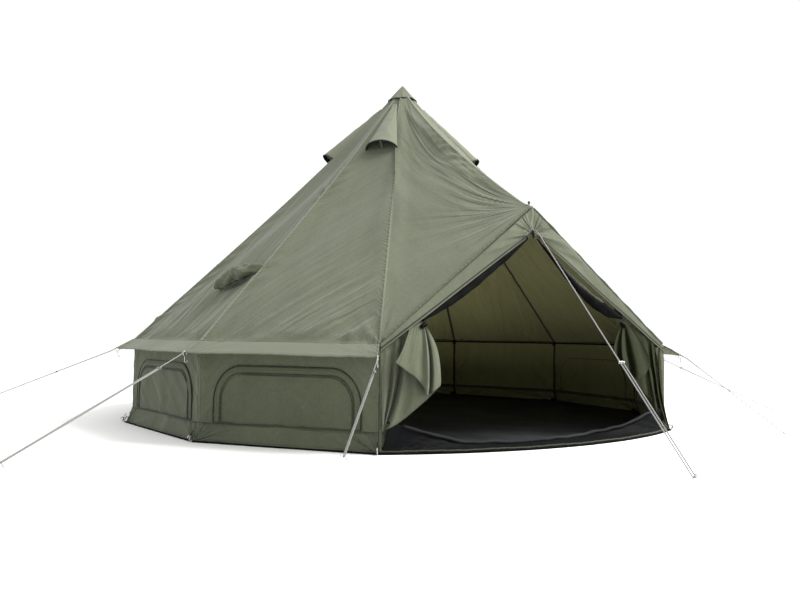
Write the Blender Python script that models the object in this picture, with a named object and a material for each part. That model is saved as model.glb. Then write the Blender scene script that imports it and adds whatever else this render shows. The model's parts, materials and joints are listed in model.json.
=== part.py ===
"""A bell tent for use with a stove, in metres, +Z up, standing on the ground plane.

The origin is the point on the ground under the middle of the centre pole, and the
doorway faces -Y. Corners are numbered 0 to 9 from the left side of the doorway
round the back to its right side, as seen by someone who looks in at the door.
"""

import math

import bmesh
import bpy
from mathutils import Matrix, Vector

# Canopy and wall
WALL_SIDES = 9
DOOR_ANGLE = math.radians(69.0)
TENT_HEIGHT = 3.25
WALL_RADIUS = 2.45
EAVE_HEIGHT = 0.715
EAVE_OVERHANG = 0.145
EAVE_TIP_DROP = 0.085
SKIRT_SEAM_HEIGHT = 0.135
SKIRT_FLARE = 0.05
CANVAS = 0.003
APEX_RING_RADIUS = 0.022
CAP_DROP = 0.19
ROOF_SAG = 0.048
ROOF_SKEW_SHARE = 0.75
RIDGE_SAG = 0.055
RIDGE_FULL_SHARE = 0.4
GAP = 0.0003
OVERRUN = 0.05

# Porch over the doorway
PEAK_SETBACK = 0.1011
PEAK_HEIGHT = 1.775
VISOR_DEPTH = 0.22
VISOR_CORNER_DEPTH = 0.055

# Groundsheet
SHEET_THICKNESS = 0.004
FRONT_SETBACK = 0.13
THRESHOLD_RADIUS = 0.022
THRESHOLD_SINK_SHARE = 0.1
THRESHOLD_SETBACK = 0.16
THRESHOLD_SIDE_GAP = 0.216
THRESHOLD_END_SETBACK = 0.2803

# Centre pole
POLE_RADIUS = 0.016
POLE_WALL = 0.002
POLE_JOINT_HEIGHT = 1.62
POLE_SPIGOT_LENGTH = 0.10
POLE_FOOT_RADIUS = 0.032
POLE_FOOT_HEIGHT = 0.035
POLE_FOOT_FLOOR = 0.006

# Porch frame
FRAME_RADIUS = 0.011
FRAME_DROP = 0.045
FRAME_SETBACK = 0.008
LEG_INSET = 0.055
ELBOW_RADIUS = 0.06
HUB_RADIUS = 0.018
HUB_HEIGHT = 0.075
HUB_PIN_RADIUS = 0.005
HUB_BALL_RADIUS = 0.011
HUB_SETBACK = 0.030
PIN_HOLE_CLEARANCE = 0.0015

# Windows
WINDOW_WIDTH = 1.12
WINDOW_HEIGHT = 0.40
WINDOW_SILL = 0.008
WINDOW_STRAIGHT_SIDE = 0.15
WINDOW_CORNER_WIDTH = 0.22
COVER_CLEARANCE = 0.0004
SLIDER_LENGTH = 0.016
SLIDER_WIDTH = 0.010
SLIDER_THICKNESS = 0.005
PULL_LENGTH = 0.034
PULL_WIDTH = 0.005
ZIP_STOP = 0.006

# Vents
VENT_DOWN = 1.06
VENT_TIP_DOWN = 0.33
VENT_HALF_WIDTH = 0.155
VENT_RISE = 0.105
VENT_TIP_HALF_WIDTH = 0.030
VENT_TIP_RISE = 0.018
VENT_OFFSET = 0.050
PROP_WIDTH = 0.020
PROP_THICKNESS = 0.003
PROP_SETBACK = 0.012

# Stove jack and its rolled cover
JACK_ABOVE_EAVE = 0.6988
JACK_FACET_HALF = 0.26
JACK_OFFSET = 0.30
JACK_TURN = math.radians(24.0)
JACK_LENGTH = 0.36
JACK_WIDTH = 0.150
JACK_CORNER = 0.03
FLUE_RADIUS = 0.05
ROLL_LENGTH = 0.50
ROLL_RADIUS = 0.047

# Door cloth
DOOR_TIE_SETBACK = 0.3677
DOOR_FLAP_BOTTOM = 0.15
DOOR_FLAP_RISE = 0.22
DOOR_FLAP_EDGE = 0.006
DOOR_FOLD_DEPTH = 0.026
MESH_ROLL_RADIUS = 0.040
MESH_ROLL_START = 0.05
MESH_ROLL_SAG = 0.02

# Pegs
PEG_RADIUS = 0.004
PEG_HEIGHT = 0.045
PEG_HOOK_RADIUS = 0.010
PEG_LEAN = math.radians(22.0)
GUY_PEG_HEIGHT = 0.055
ROPE_ON_PEG = 0.034
STEEPEST_PEG_LEAN = math.radians(38.0)

# Guy ropes and their runners
ROPE_RADIUS = 0.004
ROPE_LEAD = 0.045
ROPE_TAIL = 0.012
STRAND_HALF_GAP = 0.0098
SIDE_GUY_REACH = 4.0
NEAR_LEFT_GUY_REACH = 3.83
RIGHT_DOOR_GUY_REACH = 3.35
LEFT_DOOR_GUY_REACH = 2.76
LEFT_DOOR_GUY_SWING = math.radians(3.9)
FRONT_GUY_REACH = 3.65
FRONT_GUY_SWING = math.radians(5.9)
FRONT_GUY_ABOVE_HEM = 0.012
RUNNER_HEIGHT = 0.015
RUNNER_THICKNESS = 0.009
RUNNER_END = 0.009
RUNNER_BORE_CLEARANCE = 0.0007

HALF_DOOR = DOOR_ANGLE / 2
SIDE_ANGLE = (2 * math.pi - DOOR_ANGLE) / WALL_SIDES
HALF_SIDE = SIDE_ANGLE / 2
EAVE_TIP_RADIUS = WALL_RADIUS + EAVE_OVERHANG
EAVE_TIP_HEIGHT = EAVE_HEIGHT - EAVE_TIP_DROP
HEM_RADIUS = WALL_RADIUS + SKIRT_FLARE
PEAK_REACH = WALL_RADIUS * math.cos(HALF_DOOR) - PEAK_SETBACK
VISOR_CENTRE_HEIGHT = PEAK_HEIGHT - VISOR_DEPTH
VISOR_CORNER_HEIGHT = EAVE_HEIGHT - VISOR_CORNER_DEPTH
FRONT_REACH = HEM_RADIUS - FRONT_SETBACK
THRESHOLD_REACH = FRONT_REACH - THRESHOLD_SETBACK
THRESHOLD_HALF_WIDTH = HEM_RADIUS * math.sin(HALF_DOOR) - THRESHOLD_SIDE_GAP
THRESHOLD_END_REACH = HEM_RADIUS * math.cos(HALF_DOOR) - THRESHOLD_END_SETBACK
DOOR_TIE_HALF_WIDTH = WALL_RADIUS * math.sin(HALF_DOOR) - DOOR_TIE_SETBACK
SHEET_TOP = SHEET_THICKNESS
NARROW = math.cos(HALF_SIDE)
SLANT = math.hypot(TENT_HEIGHT - EAVE_HEIGHT, WALL_RADIUS * NARROW)
JACK_DOWN = SLANT - JACK_ABOVE_EAVE
APEX = Vector((0, 0, TENT_HEIGHT))
LAST_CORNER = WALL_SIDES

VENT_STEPS = 4
UPPER_STEPS = 3
VENT_ROW = 1
MOUTH_ROW = VENT_ROW + VENT_STEPS
JACK_ROW = MOUTH_ROW + UPPER_STEPS

WINDOW_WALLS = (0, 1, 7, 8)
VENT_GORES = (0, 2, 6, 8)
JACK_GORE = 1
CORNERS_WITH_PEG = (0, 1, 2, 7, 8, 9)


def material(name, colour, roughness, metallic=0.0):
    """A Principled material of one colour."""
    made = bpy.data.materials.new(name)
    made.use_nodes = True
    shader = made.node_tree.nodes["Principled BSDF"]
    shader.inputs["Base Color"].default_value = (*colour, 1.0)
    shader.inputs["Roughness"].default_value = roughness
    shader.inputs["Metallic"].default_value = metallic
    return made


def add_mesh(name, bm, finish, smooth=False):
    """Turn a bmesh into an object with its faces pointing out."""
    bmesh.ops.recalc_face_normals(bm, faces=bm.faces)
    mesh = bpy.data.meshes.new(name)
    bm.to_mesh(mesh)
    bm.free()
    if smooth:
        mesh.shade_smooth()
        mesh.set_sharp_from_angle(angle=math.radians(40))
    mesh.materials.append(finish)
    made = bpy.data.objects.new(name, mesh)
    bpy.context.scene.collection.objects.link(made)
    return made


def shell(name, outer, inner, faces, finish, smooth=False):
    """A sheet with thickness: two skins of the same faces, joined round each free edge."""
    bm = bmesh.new()
    top = [bm.verts.new(p) for p in outer]
    low = [bm.verts.new(p) for p in inner]
    uses = {}
    for face in faces:
        bm.faces.new([top[k] for k in face])
        bm.faces.new([low[k] for k in reversed(face)])
        for a, b in zip(face, face[1:] + face[:1]):
            edge = (min(a, b), max(a, b))
            uses[edge] = uses.get(edge, 0) + 1
    for (a, b), count in uses.items():
        if count == 1:
            bm.faces.new((top[a], top[b], low[b], low[a]))
    return add_mesh(name, bm, finish, smooth)


def grid_faces(rows, columns):
    """Quads over a grid of points that is listed row by row."""
    return [
        (r * columns + c, r * columns + c + 1, (r + 1) * columns + c + 1, (r + 1) * columns + c)
        for r in range(rows - 1)
        for c in range(columns - 1)
    ]


def plate(name, outline, low, high, frame, finish):
    """A flat outline in the frame's X and Y, made solid from low to high along its Z."""
    bm = bmesh.new()
    rings = [[bm.verts.new(frame @ Vector((x, y, z))) for x, y in outline] for z in (low, high)]
    bm.faces.new(rings[0])
    bm.faces.new(rings[1])
    for k in range(len(outline)):
        n = (k + 1) % len(outline)
        bm.faces.new((rings[0][k], rings[0][n], rings[1][n], rings[1][k]))
    return add_mesh(name, bm, finish)


def turned(name, profile, centre, sides, finish):
    """Revolve (radius, height) points, which start and end on the axis, about a vertical axis."""
    bm = bmesh.new()
    rings = []
    for radius, height in profile:
        if radius == 0:
            rings.append([bm.verts.new(centre + Vector((0, 0, height)))])
            continue
        turns = [2 * math.pi * k / sides for k in range(sides)]
        rings.append(
            [
                bm.verts.new(centre + Vector((radius * math.cos(t), radius * math.sin(t), height)))
                for t in turns
            ]
        )
    for a, b in zip(rings, rings[1:]):
        for k in range(sides):
            n = (k + 1) % sides
            corners = [a[k % len(a)], a[n % len(a)], b[n % len(b)], b[k % len(b)]]
            bm.faces.new(list(dict.fromkeys(corners)))
    return add_mesh(name, bm, finish, smooth=True)


def rings_solid(name, rings, finish):
    """Join closed rings of points in order and close the two ends."""
    bm = bmesh.new()
    made = [[bm.verts.new(p) for p in ring] for ring in rings]
    for a, b in zip(made, made[1:]):
        for k in range(len(a)):
            n = (k + 1) % len(a)
            bm.faces.new((a[k], a[n], b[n], b[k]))
    bm.faces.new(made[0])
    bm.faces.new(made[-1])
    return add_mesh(name, bm, finish, smooth=True)


def tube(name, points, radius, finish, resolution=2):
    """A round bar or rope along a line of points."""
    line = bpy.data.curves.new(name, "CURVE")
    line.dimensions = "3D"
    line.bevel_depth = radius
    line.bevel_resolution = resolution
    line.use_fill_caps = True
    spline = line.splines.new("POLY")
    spline.points.add(len(points) - 1)
    for slot, point in zip(spline.points, points):
        slot.co = (*point, 1.0)
    line.materials.append(finish)
    made = bpy.data.objects.new(name, line)
    bpy.context.scene.collection.objects.link(made)
    return made


def cut(body, cutter):
    """Take the cutter's shape out of the body."""
    cutter.hide_render = True
    cutter.display_type = "WIRE"
    step = body.modifiers.new(cutter.name, "BOOLEAN")
    step.operation = "DIFFERENCE"
    step.solver = "EXACT"
    step.object = cutter


def corner_angle(index):
    """Where corner number index stands, as an angle from +X."""
    return -math.pi / 2 - HALF_DOOR - index * SIDE_ANGLE


def corner(index, radius, height):
    """A point on the upright line through a corner's direction."""
    turn = corner_angle(index)
    return Vector((radius * math.cos(turn), radius * math.sin(turn), height))


def offset_line(points, distance, level_start, level_end):
    """Move a line of (across, height) points sideways, with mitred bends.

    A level end stays at its height, and any other end is cut square.
    """
    lines = []
    for (ax, az), (bx, bz) in zip(points, points[1:]):
        along = Vector((bx - ax, bz - az)).normalized()
        shift = Vector((along.y, -along.x)) * distance
        lines.append((Vector((ax, az)) + shift, along))
    start, along = lines[0]
    if level_start:
        start = start + along * ((points[0][1] - start.y) / along.y)
    made = [start]
    for (a, u), (b, v) in zip(lines, lines[1:]):
        share = ((b - a).x * v.y - (b - a).y * v.x) / (u.x * v.y - u.y * v.x)
        made.append(a + u * share)
    base, along = lines[-1]
    end = base + along * (Vector(points[-1]) - Vector(points[-2])).length
    if level_end:
        end = end + along * ((points[-1][1] - end.y) / along.y)
    return made + [end]


def roof_distances():
    """How far down a gore's midline each row of the roof lies, from the apex."""
    down = [0.0]
    vent = VENT_DOWN - VENT_TIP_DOWN
    down += [VENT_TIP_DOWN + vent * k / VENT_STEPS for k in range(VENT_STEPS + 1)]
    upper = JACK_DOWN - JACK_FACET_HALF - VENT_DOWN
    down += [VENT_DOWN + upper * k / UPPER_STEPS for k in range(1, UPPER_STEPS + 1)]
    return down + [JACK_DOWN + JACK_FACET_HALF, SLANT]


def sagged_line(end, sag, skew_share, full_share):
    """A sagging line from the apex to end, as (reach, height), with the roof's rows."""
    start = Vector((0, TENT_HEIGHT))
    run = Vector(end) - start
    inward = Vector((run.y, -run.x)).normalized()
    points = []
    for down in roof_distances():
        share = down / SLANT
        wave = max(0.0, math.sin(math.pi * share**skew_share))
        points.append(start + run * share + inward * sag * wave**full_share)
    points[0] = start.lerp(points[1], APEX_RING_RADIUS * NARROW / points[1].x)
    return [tuple(point) for point in points]


def roof_profiles():
    """Outer and inner section of a gore and its eave flap, square to its eave."""
    eave = (WALL_RADIUS * NARROW, EAVE_HEIGHT)
    outer = sagged_line(eave, ROOF_SAG, ROOF_SKEW_SHARE, 1)
    outer.append((EAVE_TIP_RADIUS * NARROW, EAVE_TIP_HEIGHT))
    return outer, offset_line(outer, CANVAS, True, False)


def wall_top():
    """The wall stops just under the roof's inner skin."""
    _, inner = roof_profiles()
    (ax, az), (bx, bz) = inner[-2:]
    edge = WALL_RADIUS * NARROW
    return az + (bz - az) * (edge - ax) / (bx - ax) - GAP


def sides_shell(name, outer, inner, first, last, finish):
    """Sweep a section round the corners from first to last, straight between them."""
    skins = [
        [corner(k, reach / NARROW, height) for k in range(first, last + 1) for reach, height in line]
        for line in (outer, inner)
    ]
    return shell(name, *skins, grid_faces(last - first + 1, len(outer)), finish)


def wall_profiles():
    """Outer and inner section of the wall and its skirt, square to a side."""
    outer = [
        (WALL_RADIUS * NARROW, wall_top()),
        (WALL_RADIUS * NARROW, SKIRT_SEAM_HEIGHT),
        (HEM_RADIUS * NARROW, SHEET_TOP + GAP),
    ]
    return outer, offset_line(outer, CANVAS, True, True)


def placed(x_axis, y_axis, z_axis, origin):
    """A frame from its three axes and its origin."""
    frame = Matrix((x_axis, y_axis, z_axis)).transposed().to_4x4()
    frame.translation = origin
    return frame


def side_frame(index):
    """A frame on a wall side's outer face: X to an onlooker's right, Y up, Z out."""
    a, b = corner(index, WALL_RADIUS, 0), corner(index + 1, WALL_RADIUS, 0)
    along = (a - b).normalized()
    up = Vector((0, 0, 1))
    return placed(along, up, along.cross(up), (a + b) / 2)


def roof_frame(gore, row, lift=0.0):
    """A frame over a roof row's midpoint: X to the next corner, Y down the slope, Z out.

    Y and Z are those of the facet below the row, and lift raises the origin off both
    the facet above and the facet below.
    """
    outer, _ = roof_profiles()
    raised = offset_line(outer, -lift, True, False)
    points = [corner(gore + k, WALL_RADIUS, EAVE_HEIGHT) for k in (0, 1)]
    across = (points[1] - points[0]).normalized()
    out = Vector((0, 0, 1)).cross(across)
    if out.dot(points[0]) < 0:
        out = -out

    def spot(pair):
        return out * pair[0] + Vector((0, 0, pair[1]))

    down = (spot(outer[row + 1]) - spot(outer[row])).normalized()
    return placed(across, down, across.cross(down), spot(raised[row]))


def meet(*planes):
    """The point that three planes share, each given as a point on it and its normal."""
    rows = Matrix([normal for _, normal in planes])
    return rows.inverted() @ Vector([normal.dot(point) for point, normal in planes])


def plane_of(a, b, c, towards):
    """A plane through three points, with its normal on the side of the point towards."""
    normal = (b - a).cross(c - a).normalized()
    if normal.dot(towards - a) < 0:
        normal = -normal
    return a, normal


def moved(plane, distance):
    """The plane, moved along its normal."""
    point, normal = plane
    return point + normal * distance, normal


PEAK = Vector((0, -PEAK_REACH, PEAK_HEIGHT))
DOOR_LEFT = corner(0, WALL_RADIUS, EAVE_HEIGHT)
DOOR_RIGHT = corner(LAST_CORNER, WALL_RADIUS, EAVE_HEIGHT)
OUTSIDE = Vector((0, -HEM_RADIUS - PEAK_REACH, TENT_HEIGHT))
DOOR_PLANE = plane_of(PEAK, DOOR_LEFT, DOOR_RIGHT, OUTSIDE)


def door_depth(height, behind=0.0):
    """Y of the door's plane at a height, or of a plane behind it."""
    point, normal = moved(DOOR_PLANE, -behind)
    return point.y - (height - point.z) * normal.z / normal.y


def visor_hem(across):
    """Height of the visor's hem at a distance from the middle of the doorway."""
    share = abs(across) / abs(DOOR_LEFT.x)
    return VISOR_CENTRE_HEIGHT + (VISOR_CORNER_HEIGHT - VISOR_CENTRE_HEIGHT) * share


def fold_height(across):
    """Height of the fold where the porch roof turns down into the visor."""
    return PEAK_HEIGHT + (EAVE_HEIGHT - PEAK_HEIGHT) * abs(across) / abs(DOOR_LEFT.x)


def make_roof(finish):
    """The nine gores with their eave flap, cut out for the stove jack."""
    outer, inner = roof_profiles()
    roof = sides_shell("roof_canopy", outer, inner, 0, LAST_CORNER, finish)
    hole = rounded_outline(
        JACK_LENGTH / 2 + COVER_CLEARANCE, JACK_WIDTH / 2 + COVER_CLEARANCE, JACK_CORNER
    )
    cut(roof, plate("roof_cutter", hole, -OVERRUN, OVERRUN, jack_frame(), finish))


def ridge_line():
    """The porch's ridge from the apex ring to the peak, with the roof's rows."""
    line = sagged_line((PEAK_REACH, PEAK_HEIGHT), RIDGE_SAG, 1, RIDGE_FULL_SHARE)
    return [Vector((0, -reach, height)) for reach, height in line]


def door_seam(side):
    """The seam between the porch roof and the gore beside it, on the gore's outer skin."""
    index = LAST_CORNER if side > 0 else 0
    return [corner(index, reach / NARROW, height) for reach, height in roof_profiles()[0][:-1]]


def porch_plane(side):
    """The outer face of the porch roof's lowest facet, which ends at the peak."""
    return plane_of(ridge_line()[-2], door_seam(side)[-1], PEAK, OUTSIDE)


def make_porch_roof(name, side, finish):
    """One half of the porch: its roof panel and the visor that hangs from it."""
    ridge, edge = ridge_line(), door_seam(side)
    inward = Vector((-edge[-1].y, edge[-1].x, 0)).normalized()
    if inward.x * side > 0:
        inward = -inward
    ridge = [point + Vector((side * GAP, 0, 0)) for point in ridge]
    edge = [point + inward * GAP for point in edge]
    seam, middle = (edge[-1], inward), (ridge[-1], Vector((1, 0, 0)))
    corners = [(abs(DOOR_LEFT.x) * side, VISOR_CORNER_HEIGHT), (0, VISOR_CENTRE_HEIGHT)]
    hem_points = [Vector((across, door_depth(height), height)) for across, height in corners]
    hem = plane_of(*hem_points, hem_points[1] + DOOR_PLANE[1], OUTSIDE)
    lower = Vector((0, 0, -CANVAS * math.hypot(1, (TENT_HEIGHT - EAVE_HEIGHT) / WALL_RADIUS)))
    skins = []
    for depth in (0, CANVAS):
        drop = lower if depth else Vector((0, 0, 0))
        panel, visor = moved(porch_plane(side), -depth), moved(DOOR_PLANE, -depth)
        skin = []
        for a, b in list(zip(edge, ridge))[:-1]:
            skin += [a + drop, b + drop]
        skin += [meet(panel, visor, seam), meet(panel, visor, middle)]
        skin += [meet(visor, hem, seam), meet(visor, hem, middle)]
        skins.append(skin)
    rows = len(skins[0]) // 2
    faces = []
    for row in range(rows - 1):
        a, b, c, d = 2 * row, 2 * row + 1, 2 * row + 2, 2 * row + 3
        faces += [(a, b, c), (b, d, c)] if row < rows - 2 else [(a, b, d, c)]
    made = shell(name, *skins, faces, finish)
    pin = HUB_PIN_RADIUS + PIN_HOLE_CLEARANCE
    round_hole = [(0, -HUB_HEIGHT), (pin, -HUB_HEIGHT), (pin, HUB_HEIGHT), (0, HUB_HEIGHT)]
    centre = hub_place() + Vector((0, 0, HUB_HEIGHT))
    cut(made, turned(name + "_cutter", round_hole, centre, 16, finish))


def make_cap(finish):
    """The reinforcing cone over the apex, seated on the gores and the porch roof."""
    outer, _ = roof_profiles()
    reach, height = outer[VENT_ROW]
    reaches = [corner(k, reach / NARROW, height) - APEX for k in range(WALL_SIDES + 1)]
    reaches.append(ridge_line()[VENT_ROW] - APEX)
    ring = [APEX + reach * min(1, CAP_DROP / -reach.z) for reach in reaches]
    slope = math.hypot(1, top_slope())
    skins = []
    for rise in (GAP + CANVAS, GAP):
        lift = Vector((0, 0, rise * slope))
        skins.append([APEX + lift] + [point + lift for point in ring])
    count = len(ring)
    faces = [(0, 1 + k, 1 + (k + 1) % count) for k in range(count)]
    shell("apex_cap", *skins, faces, finish)


def top_slope():
    """Fall per unit of reach of the roof's topmost facets."""
    outer, _ = roof_profiles()
    return (TENT_HEIGHT - outer[VENT_ROW][1]) / outer[VENT_ROW][0]


def rounded_outline(half_width, half_height, radius, steps=5):
    """A rectangle with round corners, centred on zero."""
    points = []
    for turn, (sx, sy) in enumerate(((1, 1), (-1, 1), (-1, -1), (1, -1))):
        for k in range(steps + 1):
            angle = (turn + k / steps) * math.pi / 2
            x = sx * (half_width - radius) + radius * math.cos(angle)
            y = sy * (half_height - radius) + radius * math.sin(angle)
            points.append((x, y))
    return points


def window_outline(grow, steps=7):
    """The window's upright sides and its rounded top, up from the sill."""
    half = WINDOW_WIDTH / 2 + grow
    low = SKIRT_SEAM_HEIGHT + WINDOW_SILL - grow
    spring = SKIRT_SEAM_HEIGHT + WINDOW_SILL + WINDOW_STRAIGHT_SIDE
    rise = WINDOW_HEIGHT - WINDOW_STRAIGHT_SIDE + grow
    points = [(-half, low), (half, low)]
    for k in range(steps + 1):
        turn = math.pi / 2 * k / steps
        x = half - WINDOW_CORNER_WIDTH * (1 - math.cos(turn))
        points.append((x, spring + rise * math.sin(turn)))
    points += [(-x, y) for x, y in reversed(points[2:])]
    return points


def make_walls(finish, cover_finish, metal):
    """Three lengths of wall with their skirt, and the zipped covers in its windows."""
    outer, inner = wall_profiles()
    third = WALL_SIDES // 3
    walls = {}
    for name, first in (("wall_left", 0), ("wall_back", third), ("wall_right", 2 * third)):
        last = first + third
        made = sides_shell(name, outer, inner, first, last, finish)
        walls.update({side: made for side in range(first, last)})
    for side in WINDOW_WALLS:
        frame = side_frame(side)
        hole = window_outline(COVER_CLEARANCE)
        cut(walls[side], plate(f"window_cutter_{side}", hole, -OVERRUN, OVERRUN, frame, finish))
        plate(f"window_cover_{side}", window_outline(0.0), -CANVAS, 0.0, frame, cover_finish)
        make_zip_slider(side, frame, metal)


def make_zip_slider(side, frame, metal):
    """A slider and its hanging pull, at the foot of the zip on the window's left side."""
    half, pull = SLIDER_WIDTH / 2, PULL_WIDTH / 2
    top = SLIDER_LENGTH + PULL_LENGTH
    outline = [(-pull, 0), (pull, 0), (pull, PULL_LENGTH), (half, PULL_LENGTH), (half, top)]
    outline += [(-half, top), (-half, PULL_LENGTH), (-pull, PULL_LENGTH)]
    foot = SKIRT_SEAM_HEIGHT + WINDOW_SILL + ZIP_STOP
    outline = [(x - WINDOW_WIDTH / 2, y + foot) for x, y in outline]
    plate(f"zip_slider_{side}", outline, GAP, GAP + SLIDER_THICKNESS, frame, metal)


def arc_through(a, middle, b, steps):
    """Points on the circle through three points in the ground plane, from a to b."""
    chord = (b - a) / 2
    half = chord.length
    rise = (middle - (a + b) / 2).length
    radius = (half * half + rise * rise) / (2 * rise)
    up = (middle - (a + b) / 2).normalized()
    centre = middle - up * radius
    reach = math.asin(half / radius)
    side = chord.normalized()
    turns = [-reach + 2 * reach * k / steps for k in range(steps + 1)]
    return [centre + side * radius * math.sin(t) + up * radius * math.cos(t) for t in turns]


def make_groundsheet(finish):
    """The floor, with a curved front edge and a padded threshold across the doorway."""
    corners = [corner(k, HEM_RADIUS, 0) for k in range(WALL_SIDES + 1)]
    front = arc_through(corners[-1], Vector((0, -FRONT_REACH, 0)), corners[0], 14)
    outline = [(p.x, p.y) for p in corners + front[1:-1]]
    sheet = plate("groundsheet", outline, 0, SHEET_THICKNESS, Matrix.Identity(4), finish)
    ends = [Vector((s * THRESHOLD_HALF_WIDTH, -THRESHOLD_END_REACH, 0)) for s in (-1, 1)]
    line = arc_through(ends[0], Vector((0, -THRESHOLD_REACH, 0)), ends[1], 22)
    radius = THRESHOLD_RADIUS
    rings = []
    for k, point in enumerate(line):
        along = (line[min(k + 1, len(line) - 1)] - line[max(k - 1, 0)]).normalized()
        out = along.cross(Vector((0, 0, 1)))
        turns = [2 * math.pi * t / 12 for t in range(12)]
        middle = point + Vector((0, 0, radius * (1 + THRESHOLD_SINK_SHARE)))
        rings.append(
            [
                middle + out * radius * math.cos(t) + Vector((0, 0, radius * math.sin(t)))
                for t in turns
            ]
        )
    lip = rings_solid("threshold_cutter", rings, finish)
    lip.hide_render = True
    lip.display_type = "WIRE"
    join = sheet.modifiers.new("threshold", "BOOLEAN")
    join.operation = "UNION"
    join.solver = "EXACT"
    join.object = lip


def make_centre_pole(steel, rubber):
    """A foot, a lower section with a socket and an upper section that plugs into it."""
    base = SHEET_TOP + GAP
    top = base + POLE_FOOT_HEIGHT
    bore = POLE_RADIUS + GAP
    foot = [
        (0, base),
        (POLE_FOOT_RADIUS, base),
        (POLE_FOOT_RADIUS, base + POLE_FOOT_FLOOR),
        (POLE_RADIUS + POLE_WALL * 2, top),
        (bore, top),
        (bore, base + POLE_FOOT_FLOOR),
        (0, base + POLE_FOOT_FLOOR),
    ]
    turned("pole_foot", foot, Vector((0, 0, 0)), 32, rubber)
    floor = base + POLE_FOOT_FLOOR + GAP
    socket = POLE_RADIUS - POLE_WALL
    lower = [
        (0, floor),
        (POLE_RADIUS, floor),
        (POLE_RADIUS, POLE_JOINT_HEIGHT),
        (socket, POLE_JOINT_HEIGHT),
        (socket, POLE_JOINT_HEIGHT - POLE_SPIGOT_LENGTH - GAP),
        (0, POLE_JOINT_HEIGHT - POLE_SPIGOT_LENGTH - GAP),
    ]
    turned("pole_lower", lower, Vector((0, 0, 0)), 24, steel)
    spigot = socket - GAP
    slope = top_slope()
    tip = spigot / 4
    upper = [
        (0, POLE_JOINT_HEIGHT - POLE_SPIGOT_LENGTH),
        (spigot, POLE_JOINT_HEIGHT - POLE_SPIGOT_LENGTH),
        (spigot, POLE_JOINT_HEIGHT + GAP),
        (POLE_RADIUS, POLE_JOINT_HEIGHT + GAP),
        (POLE_RADIUS, TENT_HEIGHT - POLE_RADIUS * slope),
        (tip, TENT_HEIGHT - tip * slope),
        (0, TENT_HEIGHT - tip * slope),
    ]
    turned("pole_upper", upper, Vector((0, 0, 0)), 24, steel)


def hub_place():
    """The foot of the hub that joins the two porch poles, just under the porch roof."""
    reach = PEAK_REACH - HUB_SETBACK
    point, normal = moved(porch_plane(1), -CANVAS - GAP)
    across_roof = math.hypot(normal.x, normal.y) / normal.z
    above = point.z + (point.y + reach) * normal.y / normal.z + point.x * normal.x / normal.z
    return Vector((0, -reach, above - HUB_RADIUS * across_roof - HUB_HEIGHT))


def make_porch_frame(steel, rubber):
    """Two bent poles, from the ground to the hub at the peak, and the hub with its ball."""
    hub = hub_place()
    before = ridge_line()[-2]
    ridge_slope = (before.z - PEAK_HEIGHT) / (before.y + PEAK_REACH)
    ridge = PEAK_HEIGHT + HUB_SETBACK * ridge_slope
    ball = ridge - hub.z + HUB_BALL_RADIUS * math.hypot(1, ridge_slope) + GAP
    steps = 6
    turns = [-math.pi / 3 + (math.pi / 3 + math.pi / 2) * k / steps for k in range(steps)]
    profile = [(0, 0), (HUB_RADIUS, 0), (HUB_RADIUS, HUB_HEIGHT), (HUB_PIN_RADIUS, HUB_HEIGHT)]
    profile += [
        (HUB_BALL_RADIUS * math.cos(t), ball + HUB_BALL_RADIUS * math.sin(t)) for t in turns
    ]
    profile[3:4] = [(HUB_PIN_RADIUS, HUB_HEIGHT), (HUB_PIN_RADIUS, profile[4][1])]
    profile.append((0, ball + HUB_BALL_RADIUS))
    turned("porch_hub", profile, hub, 24, rubber)
    behind = CANVAS + FRAME_RADIUS + FRAME_SETBACK
    for name, side in (("porch_pole_left", -1), ("porch_pole_right", 1)):
        across = abs(DOOR_LEFT.x) - LEG_INSET
        elbow_height = fold_height(across) - FRAME_DROP
        elbow = Vector((side * across, door_depth(elbow_height, behind), elbow_height))
        foot = Vector((elbow.x, elbow.y, SHEET_TOP + GAP))
        end = Vector((side * (HUB_RADIUS + GAP), hub.y, hub.z + HUB_HEIGHT / 2))
        along = (end - elbow).normalized()
        before, after = elbow - Vector((0, 0, ELBOW_RADIUS)), elbow + along * ELBOW_RADIUS
        bend = [
            before.lerp(elbow, t).lerp(elbow.lerp(after, t), t) for t in (k / 6 for k in range(7))
        ]
        straight = Vector((HUB_RADIUS * side, 0, 0))
        tube(name, [foot] + bend + [end + straight, end], FRAME_RADIUS, steel, resolution=3)


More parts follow.
